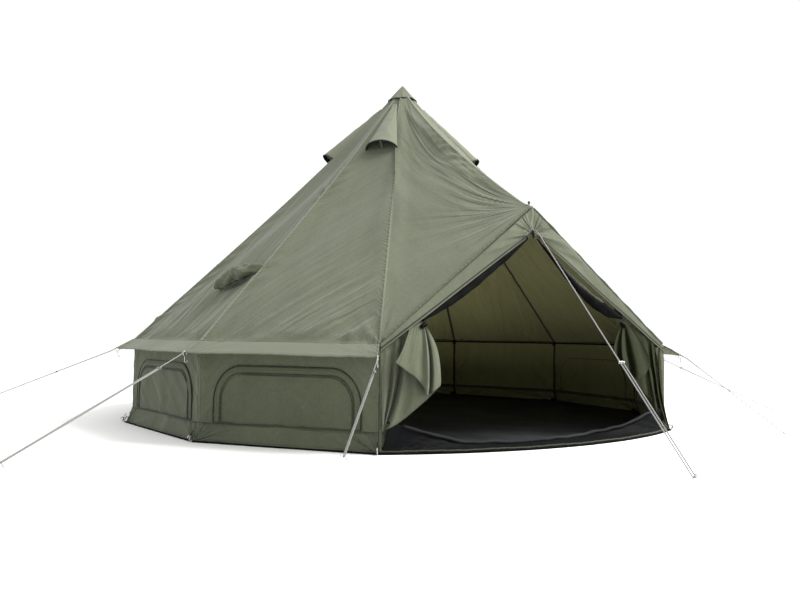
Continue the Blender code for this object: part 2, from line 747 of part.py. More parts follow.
def make_vent(gore, finish, batten):
    """A hood over a vent, arched at its mouth, and the prop that holds it open."""
    centre, steps = -VENT_OFFSET, 12
    skins = []
    for shrink in (0, CANVAS):
        skin = []
        for j in range(VENT_STEPS + 1):
            share = j / VENT_STEPS
            above, below = roof_frame(gore, VENT_ROW + j - 1), roof_frame(gore, VENT_ROW + j, GAP)
            out = (above.col[2] + below.col[2]).to_3d().normalized()
            across, origin = below.col[0].to_3d(), below.translation
            wide = VENT_TIP_HALF_WIDTH + (VENT_HALF_WIDTH - VENT_TIP_HALF_WIDTH) * share - shrink
            high = VENT_TIP_RISE + (VENT_RISE - VENT_TIP_RISE) * share - shrink
            for k in range(steps + 1):
                turn = math.pi * k / steps
                place = across * (centre * share + wide * math.cos(turn))
                skin.append(origin + place + out * high * math.sin(turn))
        skins.append(skin)
    shell(f"vent_hood_{gore}", *skins, grid_faces(VENT_STEPS + 1, steps + 1), finish, smooth=True)
    half = PROP_WIDTH / 2
    narrow = math.sqrt(1 - (half / (VENT_HALF_WIDTH - CANVAS)) ** 2) * math.cos(math.pi / steps / 2)
    lowering = (VENT_RISE - VENT_TIP_RISE) / (VENT_DOWN - VENT_TIP_DOWN)
    top = (VENT_RISE - CANVAS - lowering * (PROP_SETBACK + PROP_THICKNESS)) * narrow
    low = PROP_THICKNESS / 2 + GAP
    outline = [(centre + x, z) for x, z in ((-half, low), (half, low), (half, top), (-half, top))]
    facet = roof_frame(gore, MOUTH_ROW - 1)
    across, down, out = (facet.col[k].to_3d() for k in range(3))
    mouth = roof_frame(gore, MOUTH_ROW).translation
    upright = placed(across, out, -down, mouth - down * PROP_SETBACK)
    plate(f"vent_prop_{gore}", outline, 0, PROP_THICKNESS, upright, batten)


def jack_frame():
    """A frame on the jack's gore: X along the rolled cover, Y down past it, Z out."""
    place = Matrix.Translation((-JACK_OFFSET, JACK_FACET_HALF, 0))
    return roof_frame(JACK_GORE, JACK_ROW) @ place @ Matrix.Rotation(JACK_TURN, 4, "Z")


def make_stove_jack(jack_finish, finish):
    """A heat-proof panel with the flue's hole, and the cover that is rolled over it."""
    frame = jack_frame()
    outline = rounded_outline(JACK_LENGTH / 2, JACK_WIDTH / 2, JACK_CORNER)
    jack = plate("stove_jack", outline, -CANVAS, 0, frame, jack_finish)
    turns = [2 * math.pi * k / 24 for k in range(24)]
    flue = [(FLUE_RADIUS * math.cos(t), FLUE_RADIUS * math.sin(t)) for t in turns]
    cut(jack, plate("flue_cutter", flue, -OVERRUN, OVERRUN, frame, jack_finish))
    radius_shares = (0.62, 0.82, 0.80, 0.92, 1.0, 1.12, 1.22, 1.10, 0.86, 0.55, 0.22)
    lean_shares = (0.35, 0.20, 0.10, 0.0, -0.10, -0.05, 0.15, 0.20, 0.05, -0.20, -0.45)
    rings = []
    for k, (share, lean) in enumerate(zip(radius_shares, lean_shares)):
        along = ROLL_LENGTH * (0.5 - k / (len(radius_shares) - 1))
        radius = ROLL_RADIUS * share
        turns = [2 * math.pi * t / 12 for t in range(12)]
        rings.append(
            [
                frame
                @ Vector(
                    (
                        along,
                        ROLL_RADIUS * lean + radius * math.cos(t),
                        GAP + radius * (1 + math.sin(t)),
                    )
                )
                for t in turns
            ]
        )
    rings_solid("stove_jack_cover", rings, finish)


def make_door_flap(name, side, finish):
    """One half of the door, tied back at its upper corner, with its main folds."""
    rows, columns = 15, 19
    edge_shares = (0.0, 0.22, 0.30, 0.24, -0.02)
    fold_count, drift_share, belly_share = 2.4, 0.35, 0.35
    start = abs(corner(0, WALL_RADIUS, 0).x) - DOOR_FLAP_EDGE
    reach = DOOR_TIE_HALF_WIDTH - start
    skins = [[], []]
    for r in range(rows):
        fall = r / (rows - 1)
        place = fall * (len(edge_shares) - 1)
        k = min(int(place), len(edge_shares) - 2)
        bulge = edge_shares[k] + (edge_shares[k + 1] - edge_shares[k]) * (place - k)
        for c in range(columns):
            share = c / (columns - 1)
            across = start + reach * (1 + bulge) * share
            high = visor_hem(start + reach * share) - GAP * 2
            low = DOOR_FLAP_BOTTOM + DOOR_FLAP_RISE * share
            height = high + (low - high) * fall
            swell = DOOR_FOLD_DEPTH * math.sin(math.pi / 2 * math.sqrt(share)) * math.sqrt(fall)
            wave = math.sin(2 * math.pi * (fold_count * share + drift_share * fall))
            depth = door_depth(height) - swell * (belly_share + wave)
            skins[0].append(Vector((side * across, depth, height)))
            skins[1].append(Vector((side * across, depth + CANVAS, height)))
    shell(name, *skins, grid_faces(rows, columns), finish, smooth=True)


def make_mesh_roll(name, side, finish):
    """The insect door, rolled up and tied behind the visor's hem."""
    radius_shares = (0.35, 0.62, 0.85, 1.0, 1.12, 1.0, 1.08, 1.15, 1.0, 0.9, 0.7, 0.4)
    seat_share, sides = 0.4, 12
    rings = []
    for k, share in enumerate(radius_shares):
        part = k / (len(radius_shares) - 1)
        across = MESH_ROLL_START + (DOOR_TIE_HALF_WIDTH - MESH_ROLL_START) * part
        radius = MESH_ROLL_RADIUS * share
        height = visor_hem(across) - radius * seat_share - MESH_ROLL_SAG * math.sin(math.pi * part)
        depth = door_depth(height, CANVAS + GAP) + radius
        turns = [2 * math.pi * t / sides for t in range(sides)]
        ring = [(depth + radius * math.cos(t), height + radius * math.sin(t)) for t in turns]
        rings.append([Vector((side * across, y, z)) for y, z in ring])
    rings_solid(name, rings, finish)


def hooked_peg(name, foot, outward, lean, stub, finish):
    """The part of a hooked peg above the ground: a leaning stub and a hook turned away."""
    axis = outward * math.sin(lean) + Vector((0, 0, math.cos(lean)))
    across = outward * math.cos(lean) - Vector((0, 0, math.sin(lean)))
    start = foot + axis * (PEG_RADIUS * math.tan(lean))
    top = foot + axis * stub
    centre = top + across * PEG_HOOK_RADIUS
    turns = [math.pi * k / 8 for k in range(9)]
    hook = [centre + PEG_HOOK_RADIUS * (axis * math.sin(t) - across * math.cos(t)) for t in turns]
    tube(name, [start] + hook, PEG_RADIUS, finish)


def make_corner_pegs(finish):
    """The pegs that hold the skirt's corners down."""
    reach = HEM_RADIUS + GAP + PEG_RADIUS * math.cos(2 * PEG_LEAN) / math.cos(PEG_LEAN)
    for index in CORNERS_WITH_PEG:
        outward = corner(index, 1, 0)
        hooked_peg(f"corner_peg_{index}", outward * reach, outward, PEG_LEAN, PEG_HEIGHT, finish)


def guy_layout():
    """Each guy: its name, where it leaves the canvas and which way, its peg and its runner."""
    pegs = {
        0: (LEFT_DOOR_GUY_REACH, -LEFT_DOOR_GUY_SWING),
        1: (NEAR_LEFT_GUY_REACH, 0),
        2: (SIDE_GUY_REACH, 0),
        8: (SIDE_GUY_REACH, 0),
        9: (RIGHT_DOOR_GUY_REACH, 0),
    }
    runner_shares = {0: 0.12, 1: 0.14, 2: 0.30, 8: 0.24, 9: 0.45, "front": 0.62}
    layout = []
    slope = Vector((EAVE_TIP_RADIUS - WALL_RADIUS, EAVE_TIP_HEIGHT - EAVE_HEIGHT)).normalized()
    for index, (reach, swing) in pegs.items():
        out = corner(index, 1, 0)
        lead = out * slope.x + Vector((0, 0, slope.y))
        middle = corner(index, EAVE_TIP_RADIUS, EAVE_TIP_HEIGHT)
        turn = corner_angle(index) + swing
        peg = Vector((reach * math.cos(turn), reach * math.sin(turn), 0))
        layout.append((str(index), middle, lead, peg, runner_shares[index]))
    height = VISOR_CENTRE_HEIGHT + FRONT_GUY_ABOVE_HEM
    front = Vector((0, door_depth(height), height))
    turn = -math.pi / 2 - FRONT_GUY_SWING
    peg = Vector((FRONT_GUY_REACH * math.cos(turn), FRONT_GUY_REACH * math.sin(turn), 0))
    layout.append(("front", front, DOOR_PLANE[1].copy(), peg, runner_shares["front"]))
    return layout


def make_guy(name, canvas, lead, peg, share, rope, metal, peg_finish):
    """A taut rope from the canvas round its peg and back to a runner, which slides on it."""
    start = canvas + lead * GAP
    turn_in = canvas + lead * ROPE_LEAD
    hold = peg + Vector((0, 0, ROPE_ON_PEG))
    along = (hold - turn_in).normalized()
    across = along.cross(Vector((0, 0, 1))).normalized()
    eye = hold - across * STRAND_HALF_GAP
    half = ROPE_LEAD / 2
    before, after = turn_in - lead * half, turn_in + along * half
    bend = [
        before.lerp(turn_in, t).lerp(turn_in.lerp(after, t), t) for t in (k / 6 for k in range(7))
    ]
    turns = [math.pi * k / 10 for k in range(11)]
    loop = [eye + STRAND_HALF_GAP * (across * math.cos(t) + along * math.sin(t)) for t in turns]
    length = (hold - turn_in).length
    back = eye - across * STRAND_HALF_GAP - along * (length * (1 - share) + ROPE_TAIL)
    tube(f"guy_rope_{name}", [start] + bend + loop + [back], ROPE_RADIUS, rope)

    normal = across.cross(along)
    if normal.z < 0:
        normal = -normal
    middle = eye - along * (length * (1 - share))
    frame = placed(across, normal, across.cross(normal), middle)
    wide = STRAND_HALF_GAP + ROPE_RADIUS + RUNNER_END
    corner_round = RUNNER_HEIGHT / 3
    outline = rounded_outline(wide, RUNNER_HEIGHT / 2, corner_round, steps=3)
    half = RUNNER_THICKNESS / 2
    runner = plate(f"guy_runner_{name}", outline, -half, half, frame, metal)
    bore = ROPE_RADIUS + RUNNER_BORE_CLEARANCE
    for side in (-1, 1):
        turns = [2 * math.pi * k / 16 for k in range(16)]
        hole = [(side * STRAND_HALF_GAP + bore * math.cos(t), bore * math.sin(t)) for t in turns]
        cutter = plate(f"bore_cutter_{name}_{side + 1}", hole, -OVERRUN, OVERRUN, frame, metal)
        cut(runner, cutter)

    level = Vector((along.x, along.y, 0)).normalized()
    pitch = math.atan2(-along.z, math.hypot(along.x, along.y))
    lean = min(pitch, STEEPEST_PEG_LEAN)
    axis = level * math.sin(lean) + Vector((0, 0, math.cos(lean)))
    slack = STRAND_HALF_GAP * math.cos(pitch - lean) - ROPE_RADIUS - PEG_RADIUS - GAP
    seat = eye + level * (slack / math.cos(lean))
    foot = seat - axis * (seat.z / axis.z)
    hooked_peg(f"guy_peg_{name}", foot, level, lean, GUY_PEG_HEIGHT, peg_finish)


def main():
    """Build the whole tent."""
    for old in list(bpy.data.objects):
        bpy.data.objects.remove(old, do_unlink=True)
    roof_cloth = material("roof_canvas", (0.27, 0.29, 0.22), 0.85)
    wall_cloth = material("wall_canvas", (0.16, 0.18, 0.12), 0.85)
    door_cloth = material("door_canvas", (0.20, 0.22, 0.15), 0.85)
    cover_cloth = material("window_canvas", (0.15, 0.17, 0.11), 0.85)
    cap_cloth = material("cap_canvas", (0.25, 0.27, 0.20), 0.85)
    sheet_cloth = material("groundsheet_fabric", (0.03, 0.032, 0.035), 0.55)
    net = material("insect_net", (0.02, 0.02, 0.022), 0.7)
    jack_cloth = material("heat_proof_fabric", (0.10, 0.10, 0.10), 0.6)
    steel = material("galvanised_steel", (0.45, 0.45, 0.44), 0.35, 1.0)
    bright = material("runner_metal", (0.62, 0.62, 0.60), 0.3, 1.0)
    rubber = material("black_plastic", (0.02, 0.02, 0.02), 0.5)
    batten = material("vent_batten", (0.12, 0.14, 0.09), 0.6)
    rope = material("guy_rope", (0.72, 0.71, 0.67), 0.8)

    make_roof(roof_cloth)
    make_porch_roof("porch_roof_left", -1, roof_cloth)
    make_porch_roof("porch_roof_right", 1, roof_cloth)
    make_cap(cap_cloth)
    make_walls(wall_cloth, cover_cloth, bright)
    make_groundsheet(sheet_cloth)
    make_centre_pole(steel, rubber)
    make_porch_frame(steel, rubber)
    for gore in VENT_GORES:
        make_vent(gore, roof_cloth, batten)
    make_stove_jack(jack_cloth, roof_cloth)
    for name, side in (("left", -1), ("right", 1)):
        make_door_flap(f"door_flap_{name}", side, door_cloth)
        make_mesh_roll(f"mesh_roll_{name}", side, net)
    make_corner_pegs(steel)
    for guy in guy_layout():
        make_guy(*guy, rope, bright, steel)


main()
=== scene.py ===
import json
import math

import bmesh
import bpy
import numpy as np
from mathutils import Matrix, Vector

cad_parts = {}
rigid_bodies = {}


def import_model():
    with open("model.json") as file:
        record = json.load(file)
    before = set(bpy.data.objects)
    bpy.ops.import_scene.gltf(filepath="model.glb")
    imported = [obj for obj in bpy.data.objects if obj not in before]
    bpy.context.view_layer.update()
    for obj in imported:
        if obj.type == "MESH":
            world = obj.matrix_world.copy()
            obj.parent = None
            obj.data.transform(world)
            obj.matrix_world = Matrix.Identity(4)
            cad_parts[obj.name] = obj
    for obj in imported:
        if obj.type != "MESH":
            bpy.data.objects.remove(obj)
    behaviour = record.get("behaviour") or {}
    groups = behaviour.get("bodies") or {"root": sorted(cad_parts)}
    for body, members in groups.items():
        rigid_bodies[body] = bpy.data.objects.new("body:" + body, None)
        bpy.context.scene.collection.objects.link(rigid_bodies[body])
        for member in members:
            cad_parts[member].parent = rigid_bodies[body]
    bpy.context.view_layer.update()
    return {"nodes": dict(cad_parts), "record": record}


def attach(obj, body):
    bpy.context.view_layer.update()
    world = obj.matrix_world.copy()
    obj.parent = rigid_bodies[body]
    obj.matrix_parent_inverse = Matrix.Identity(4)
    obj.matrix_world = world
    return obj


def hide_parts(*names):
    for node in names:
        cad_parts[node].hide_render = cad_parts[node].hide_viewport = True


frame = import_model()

NODES = frame["nodes"]

# Canopy and wall, as in the part's source
SIDES = 9
HALF_DOOR = math.radians(34.5)
SIDE_ANGLE = (2 * math.pi - 2 * HALF_DOOR) / SIDES
NARROW = math.cos(SIDE_ANGLE / 2)
TENT_HEIGHT = 3.25
WALL_RADIUS = 2.45
EAVE_HEIGHT = 0.715
TIP_RADIUS = 2.595
TIP_HEIGHT = 0.63
SKIRT_SEAM = 0.135
HEM_RADIUS = 2.50
ROOF_SAG = 0.048
RIDGE_SAG = 0.055
SLANT = math.hypot(TENT_HEIGHT - EAVE_HEIGHT, WALL_RADIUS * NARROW)
FLAP = math.hypot((TIP_RADIUS - WALL_RADIUS) * NARROW, EAVE_HEIGHT - TIP_HEIGHT)
PEAK = Vector((0, -1.918, 1.775))
VISOR_MIDDLE = 1.555
VISOR_CORNER = 0.66
CLOTH = 0.002
FOLDS = 2.5

# Windows, vents and the rolled cover
WINDOW_SIDES = (0, 1, 7, 8)
WINDOW_HALF = 0.56
WINDOW_SILL = 0.143
WINDOW_SPRING = 0.293
WINDOW_RISE = 0.25
WINDOW_CORNER = 0.22
VENT_GORES = (0, 2, 6, 8)
GUYS = ("0", "1", "2", "8", "9", "front")

# Vent hoods: their start on the slope, their length, and how they widen and lean
HOOD_TOP = 0.33
HOOD_LENGTH = 0.73
HOOD_NARROW = 0.030
HOOD_SPREAD = 0.125
HOOD_LEAN = 0.05

# The threshold strip's height across the doorway, as x and height
THRESHOLD_HEIGHTS = (
    (-1.36, 0.205), (-1.28, 0.187), (-1.02, 0.109), (-0.77, 0.034), (-0.23, 0.013),
    (0.28, 0.016), (0.87, 0.086), (1.08, 0.150), (1.36, 0.205),
)

# The camera, its distance from the doorway's plane and the floor's edge in front
CAMERA_SPOT = (-3.825, -6.2387, 0.7666)
DOOR_AWAY = 4.21
FRONT_MIDDLE = (0, -2.37)

# Maps: how far apart the gores' and the sides' maps lie, and a side's width in metres
MAP_STEP = 2.0
SIDE_WIDTH = 1.364

# Shared names, and the finishes by name, which mix_finishes fills
UP = Vector((0, 0, 1))
APEX = Vector((0, 0, TENT_HEIGHT))
HANDS = {-1: "left", 1: "right"}
FINISH = {}
TENT = "tent"


def corner_angle(index):
    return -math.pi / 2 - HALF_DOOR - index * SIDE_ANGLE


def corner(index, radius, height):
    turn = corner_angle(index)
    return Vector((radius * math.cos(turn), radius * math.sin(turn), height))


DOOR_LEFT = corner(0, WALL_RADIUS, EAVE_HEIGHT)
DOOR_HALF = abs(DOOR_LEFT.x)
DOOR_NORMAL = (DOOR_LEFT - PEAK).cross(corner(SIDES, WALL_RADIUS, EAVE_HEIGHT) - PEAK).normalized()
if DOOR_NORMAL.y > 0:
    DOOR_NORMAL = -DOOR_NORMAL


def door_depth(height):
    return PEAK.y - (height - PEAK.z) * DOOR_NORMAL.z / DOOR_NORMAL.y


def door_corner(side):
    """The eave's corner beside the doorway, left for -1 and right for 1."""
    return Vector((side * DOOR_HALF, DOOR_LEFT.y, DOOR_LEFT.z))


def visor_hem(across):
    return VISOR_MIDDLE + (VISOR_CORNER - VISOR_MIDDLE) * abs(across) / DOOR_HALF


def linear(red, green, blue):
    """A colour given as seen on a screen, 0 to 255, for a shader's socket."""
    return tuple(((c / 255 + 0.055) / 1.055) ** 2.4 for c in (red, green, blue)) + (1.0,)


# Camera, floor and light


def place_camera():
    """The camera as fitted to the photo, with its focal length in pixels."""
    pitch, roll, focal, photo_width, sensor = 0.0478, 0.0130, 745.2, 800.0, 36.0
    right = Vector((0.8524, -0.5229, 0)).normalized()
    level = Vector((0.5229, 0.8524, 0)).normalized()
    ahead = level * math.cos(pitch) + UP * math.sin(pitch)
    up = right.cross(ahead)
    side = right * math.cos(roll) + up * math.sin(roll)
    top = up * math.cos(roll) - right * math.sin(roll)
    lens = bpy.data.cameras.new("camera")
    lens.sensor_width = sensor
    lens.lens = focal * sensor / photo_width
    lens.clip_end = 200.0
    made = bpy.data.objects.new("camera", lens)
    turn = Matrix((side, top, -ahead)).transposed().to_4x4()
    made.matrix_world = Matrix.Translation(CAMERA_SPOT) @ turn
    bpy.context.scene.collection.objects.link(made)
    bpy.context.scene.camera = made


def lay_floor():
    """A pale round floor, far wider than the tent and just under it."""
    reach, sides = 60, 64
    finish, tree, surface = new_finish("studio_floor", 0.9, 0.1)
    mottle = noise_of(tree, "Object", 1.5, 4)
    tint(tree, surface, mottle, linear(249, 249, 248), linear(252, 252, 251))
    turns = np.linspace(0, 2 * math.pi, sides + 1)[:-1]
    points = [(reach * math.cos(t), reach * math.sin(t), -0.001) for t in turns]
    mesh = bpy.data.meshes.new("studio_floor")
    mesh.from_pydata(points, [], [tuple(range(sides))])
    floor = bpy.data.objects.new("studio_floor", mesh)
    mesh.materials.append(finish)
    bpy.context.scene.collection.objects.link(floor)


def hang_lights():
    world = bpy.data.worlds.new("studio_air")
    world.use_nodes = True
    air = world.node_tree.nodes["Background"]
    air.inputs["Color"].default_value = (1.0, 1.0, 1.0, 1.0)
    air.inputs["Strength"].default_value = 1.10
    bpy.context.scene.world = world
    bpy.context.scene.view_settings.view_transform = "Standard"
    for name, place, watts, size, colour in (
        ("key_light", (6.0, -5.4, 10.2), 2400.0, 6.0, (1.0, 0.98, 0.95)),
        ("cabin_light", (0.0, 0.3, 0.35), 29.0, 2.4, (1.0, 0.97, 0.8)),
    ):
        lamp = bpy.data.lights.new(name, "AREA")
        lamp.energy = watts
        lamp.size = size
        lamp.color = colour
        made = bpy.data.objects.new(name, lamp)
        made.location = place
        aim = Vector((0, 0, 1.0)) if place[2] > 1 else Vector((0, 0.3, 3.0))
        made.rotation_euler = (aim - Vector(place)).to_track_quat("-Z", "Y").to_euler()
        made.visible_camera = False
        bpy.context.scene.collection.objects.link(made)


# Finishes


def new_finish(name, roughness=0.5, gloss=0.5):
    """A material, its node tree and its shader."""
    made = bpy.data.materials.new(name)
    made.use_nodes = True
    tree = made.node_tree
    surface = tree.nodes["Principled BSDF"]
    surface.inputs["Roughness"].default_value = roughness
    surface.inputs["Specular IOR Level"].default_value = gloss
    return made, tree, surface


def node_of(tree, kind, **settings):
    made = tree.nodes.new(kind)
    for key, value in settings.items():
        setattr(made, key, value)
    return made


def sum_of(tree, operation, first, second=None, third=None):
    """One step of arithmetic on sockets or numbers, and its output."""
    made = node_of(tree, "ShaderNodeMath", operation=operation)
    for slot, value in enumerate((first, second, third)):
        if value is None:
            continue
        if isinstance(value, (int, float)):
            made.inputs[slot].default_value = value
        else:
            tree.links.new(value, made.inputs[slot])
    return made.outputs[0]


def noise_of(tree, source, scale, detail=2, stretch=None):
    """Noise on the Object coordinates or on the cloth's own map, in metres."""
    made = node_of(tree, "ShaderNodeTexNoise")
    made.inputs["Scale"].default_value = scale
    made.inputs["Detail"].default_value = detail
    place = node_of(tree, "ShaderNodeTexCoord").outputs[source]
    if stretch:
        turn = node_of(tree, "ShaderNodeMapping")
        turn.inputs["Scale"].default_value = stretch
        tree.links.new(place, turn.inputs["Vector"])
        place = turn.outputs[0]
    tree.links.new(place, made.inputs["Vector"])
    return made.outputs["Fac"]


def attribute_of(tree, name):
    return node_of(tree, "ShaderNodeAttribute", attribute_name=name).outputs["Fac"]


def between(tree, value, low, high, at_low=0.0, at_high=1.0):
    made = node_of(tree, "ShaderNodeMapRange", interpolation_type="SMOOTHSTEP")
    tree.links.new(value, made.inputs["Value"])
    for slot, number in zip(("From Min", "From Max", "To Min", "To Max"), (low, high, at_low, at_high)):
        made.inputs[slot].default_value = number
    return made.outputs["Result"]


def tint(tree, surface, factor, low, high):
    """Mix two colours by a factor, into the surface's colour; returns the mix's output."""
    made = node_of(tree, "ShaderNodeMix", data_type="RGBA")
    tree.links.new(factor, made.inputs[0])
    made.inputs[6].default_value = low
    made.inputs[7].default_value = high
    if surface is not None:
        tree.links.new(made.outputs[2], surface.inputs["Base Color"])
    return made.outputs[2]


def darken(tree, colour, factor, shade):
    """Blend a colour towards a shade where the factor is 1."""
    made = node_of(tree, "ShaderNodeMix", data_type="RGBA")
    tree.links.new(factor, made.inputs[0])
    tree.links.new(colour, made.inputs[6])
    made.inputs[7].default_value = shade
    return made.outputs[2]


def mark_in(tree, colour, mask, weight, shade):
    """Blend a colour towards a shade by a mask's weight."""
    return darken(tree, colour, sum_of(tree, "MULTIPLY", mask, weight), shade)


def relief(tree, surface, *layers):
    """Stack bumps, each a height socket, its depth in metres and its strength."""
    normal = None
    for height, depth, strength in layers:
        made = node_of(tree, "ShaderNodeBump")
        made.inputs["Distance"].default_value = depth
        made.inputs["Strength"].default_value = strength
        tree.links.new(height, made.inputs["Height"])
        if normal:
            tree.links.new(normal, made.inputs["Normal"])
        normal = made.outputs["Normal"]
    tree.links.new(normal, surface.inputs["Normal"])


def rough_of(tree, scale):
    """Sharp crossing creases, as crumpled cloth keeps them."""
    made = node_of(tree, "ShaderNodeTexNoise", noise_type="RIDGED_MULTIFRACTAL")
    made.inputs["Scale"].default_value = scale
    made.inputs["Detail"].default_value = 3
    tree.links.new(node_of(tree, "ShaderNodeTexCoord").outputs["Object"], made.inputs["Vector"])
    return made.outputs["Fac"]


def weave_of(tree, pitch):
    """Warp and weft threads on the cloth's own map."""
    threads = []
    for direction in ("X", "Y"):
        made = node_of(tree, "ShaderNodeTexWave", bands_direction=direction)
        made.inputs["Scale"].default_value = 0.314 / pitch
        made.inputs["Distortion"].default_value = 0.6
        tree.links.new(node_of(tree, "ShaderNodeTexCoord").outputs["UV"], made.inputs["Vector"])
        threads.append(made.outputs["Fac"])
    return sum_of(tree, "MAXIMUM", *threads)


def folds_of(tree, pitch, length):
    """Fine ridges along the folds that the mesh maps with flow, stream and strain."""
    place = node_of(tree, "ShaderNodeCombineXYZ")
    tree.links.new(sum_of(tree, "DIVIDE", attribute_of(tree, "flow"), pitch), place.inputs[0])
    tree.links.new(sum_of(tree, "DIVIDE", attribute_of(tree, "stream"), length), place.inputs[1])
    made = node_of(tree, "ShaderNodeTexNoise")
    made.inputs["Scale"].default_value = 1.0
    made.inputs["Detail"].default_value = 2
    tree.links.new(place.outputs[0], made.inputs["Vector"])
    away = sum_of(tree, "ABSOLUTE", sum_of(tree, "SUBTRACT", made.outputs["Fac"], 0.5))
    return sum_of(tree, "MULTIPLY", between(tree, away, 0.0, 0.11, 1.0, 0.0), attribute_of(tree, "strain"))


def sew_porch(tree, colour, eave, hem, zip_half):
    """The visor's zip and edge, the eave flap blended lighter than the roof, and the seam of the porch's
    panel.
    """
    visor = between(tree, attribute_of(tree, "porch"), 1.3, 1.6)
    for offset, half in ((0.020, zip_half), (-0.003, 0.004)):
        line = sum_of(tree, "MULTIPLY", sum_of(tree, "COMPARE", hem, offset, half), visor)
        colour = mark_in(tree, colour, line, 0.9, linear(22, 22, 20))
    below = between(tree, eave, 0.0, 0.004)
    gores = between(tree, attribute_of(tree, "porch"), 0.2, 0.5, 1.0, 0.0)
    colour = mark_in(tree, colour, sum_of(tree, "MULTIPLY", below, gores), 0.8, linear(103, 108, 92))
    join = sum_of(tree, "COMPARE", attribute_of(tree, "panel"), 0.0, 0.0035)
    join = sum_of(tree, "MULTIPLY", join, sum_of(tree, "COMPARE", attribute_of(tree, "porch"), 1.0, 0.4))
    return mark_in(tree, colour, join, 0.6, linear(52, 56, 42))


def crumple(tree, surface, seam, along, strip):
    """Puckers beside the seams, rays from the pulled corners, folds, creases and the weave."""
    near = between(tree, seam, 0.012, 0.075, 1.0, 0.0)
    wander = noise_of(tree, "Object", 6.0, 2)
    pull, turn = attribute_of(tree, "pull"), attribute_of(tree, "turn")
    spread = sum_of(tree, "MULTIPLY_ADD", turn, 31.0, sum_of(tree, "MULTIPLY", wander, 5.0))
    rays = sum_of(tree, "POWER", sum_of(tree, "ABSOLUTE", sum_of(tree, "SINE", spread)), 0.6)
    rays = sum_of(tree, "MULTIPLY", rays, pull)
    slide = sum_of(tree, "MULTIPLY_ADD", seam, 0.9, along)
    slide = sum_of(tree, "MULTIPLY_ADD", slide, 2 * math.pi / 0.05, sum_of(tree, "MULTIPLY", wander, 26.0))
    gather = sum_of(tree, "MULTIPLY", sum_of(tree, "SINE", slide), near)
    crease = noise_of(tree, "UV", 7.0, 3, (1.0, 0.35, 1.0))
    relief(
        tree,
        surface,
        (gather, 0.0016, 0.7),
        (rays, 0.004, 0.6),
        (folds_of(tree, 0.26, 1.7), 0.015, 1.0),
        (folds_of(tree, 0.11, 0.9), 0.0040, 0.9),
        (crease, 0.008, 0.4),
        (rough_of(tree, 2.3), 0.005, 0.3),
        (strip, 0.0015, 1.0),
        (weave_of(tree, 0.0014), 0.0003, 0.35),
    )


def canvas(
    name, low, high, seam_shade, strip_shade, lining=False, zip_half=0.0, tub=0.0, gloss=0.25, sheen=0.12
):
    """Cotton canvas with felled seams, stitch lines and the puckers beside them.

    The mesh gives the distances in metres: seam to the nearest seam, eave to the eave's
    seam and hem to the hem. With lining set, it is the canvas's inner face, whose seams are
    covered by a black tape and whose colours are painted light for daylight through the cloth;
    the visor's hem carries a zip, and the floor's black tub comes up inside the wall.
    """
    strip_half, strip_weight, tape_half = (0.016, 0.95, 0.017) if lining else (0.010, 0.55, 0.003)
    stitch_pitch = 0.009
    finish, tree, surface = new_finish(name, 0.88, gloss)
    surface.inputs["Sheen Weight"].default_value = sheen
    surface.inputs["Sheen Roughness"].default_value = 0.5
    seam, eave, hem = (attribute_of(tree, key) for key in ("seam", "eave", "hem"))
    cloud = noise_of(tree, "Object", 1.1, 3)
    speck = noise_of(tree, "Object", 55.0, 3)
    streak = noise_of(tree, "UV", 9.0, 4, (1.0, 0.18, 1.0))
    factor = sum_of(tree, "MULTIPLY_ADD", cloud, 0.5, sum_of(tree, "MULTIPLY", streak, 0.3))
    factor = sum_of(tree, "MULTIPLY_ADD", speck, 0.35, factor)
    colour = tint(tree, None, between(tree, factor, 0.35, 0.8), low, high)
    strip = between(tree, seam, strip_half - 0.001, strip_half + 0.001, 1.0, 0.0)
    rim = sum_of(tree, "COMPARE", seam, 0.0125, 0.0022)
    along = node_of(tree, "ShaderNodeSeparateXYZ")
    tree.links.new(node_of(tree, "ShaderNodeTexCoord").outputs["UV"], along.inputs[0])
    along = along.outputs["Y"]
    stitch = sum_of(tree, "SINE", sum_of(tree, "MULTIPLY", along, 2 * math.pi / stitch_pitch))
    thread = sum_of(tree, "COMPARE", seam, 0.0085, 0.0009)
    thread = sum_of(tree, "MULTIPLY", thread, between(tree, stitch, -0.2, 0.2))
    tape = between(tree, sum_of(tree, "ABSOLUTE", eave), tape_half - 0.002, tape_half + 0.002, 1.0, 0.0)
    fold = sum_of(tree, "COMPARE", hem, 0.022, 0.0016)
    colour = mark_in(tree, colour, strip, strip_weight, strip_shade)
    if zip_half:
        colour = sew_porch(tree, colour, eave, hem, zip_half)
    if tub:
        colour = darken(tree, colour, between(tree, hem, tub, tub + 0.004, 1.0, 0.0), linear(22, 23, 22))
    for mask, weight in ((rim, 0.3), (thread, 0.4), (tape, 0.75), (fold, 0.45)):
        colour = mark_in(tree, colour, mask, weight, seam_shade)
    tree.links.new(colour, surface.inputs["Base Color"])
    crumple(tree, surface, seam, along, strip)
    return finish


def plain_cloth(name, low, high, pitch, roughness=0.85, bump=0.003, scale=20.0, gloss=0.3):
    """Webbing, tape or coated cloth with a weave and light creasing."""
    finish, tree, surface = new_finish(name, roughness, gloss)
    tint(tree, surface, between(tree, noise_of(tree, "Object", scale * 0.3, 4), 0.3, 0.7), low, high)
    creases = noise_of(tree, "Object", scale, 4)
    relief(tree, surface, (creases, bump, 0.6), (weave_of(tree, pitch), 0.0003, 0.4))
    return finish


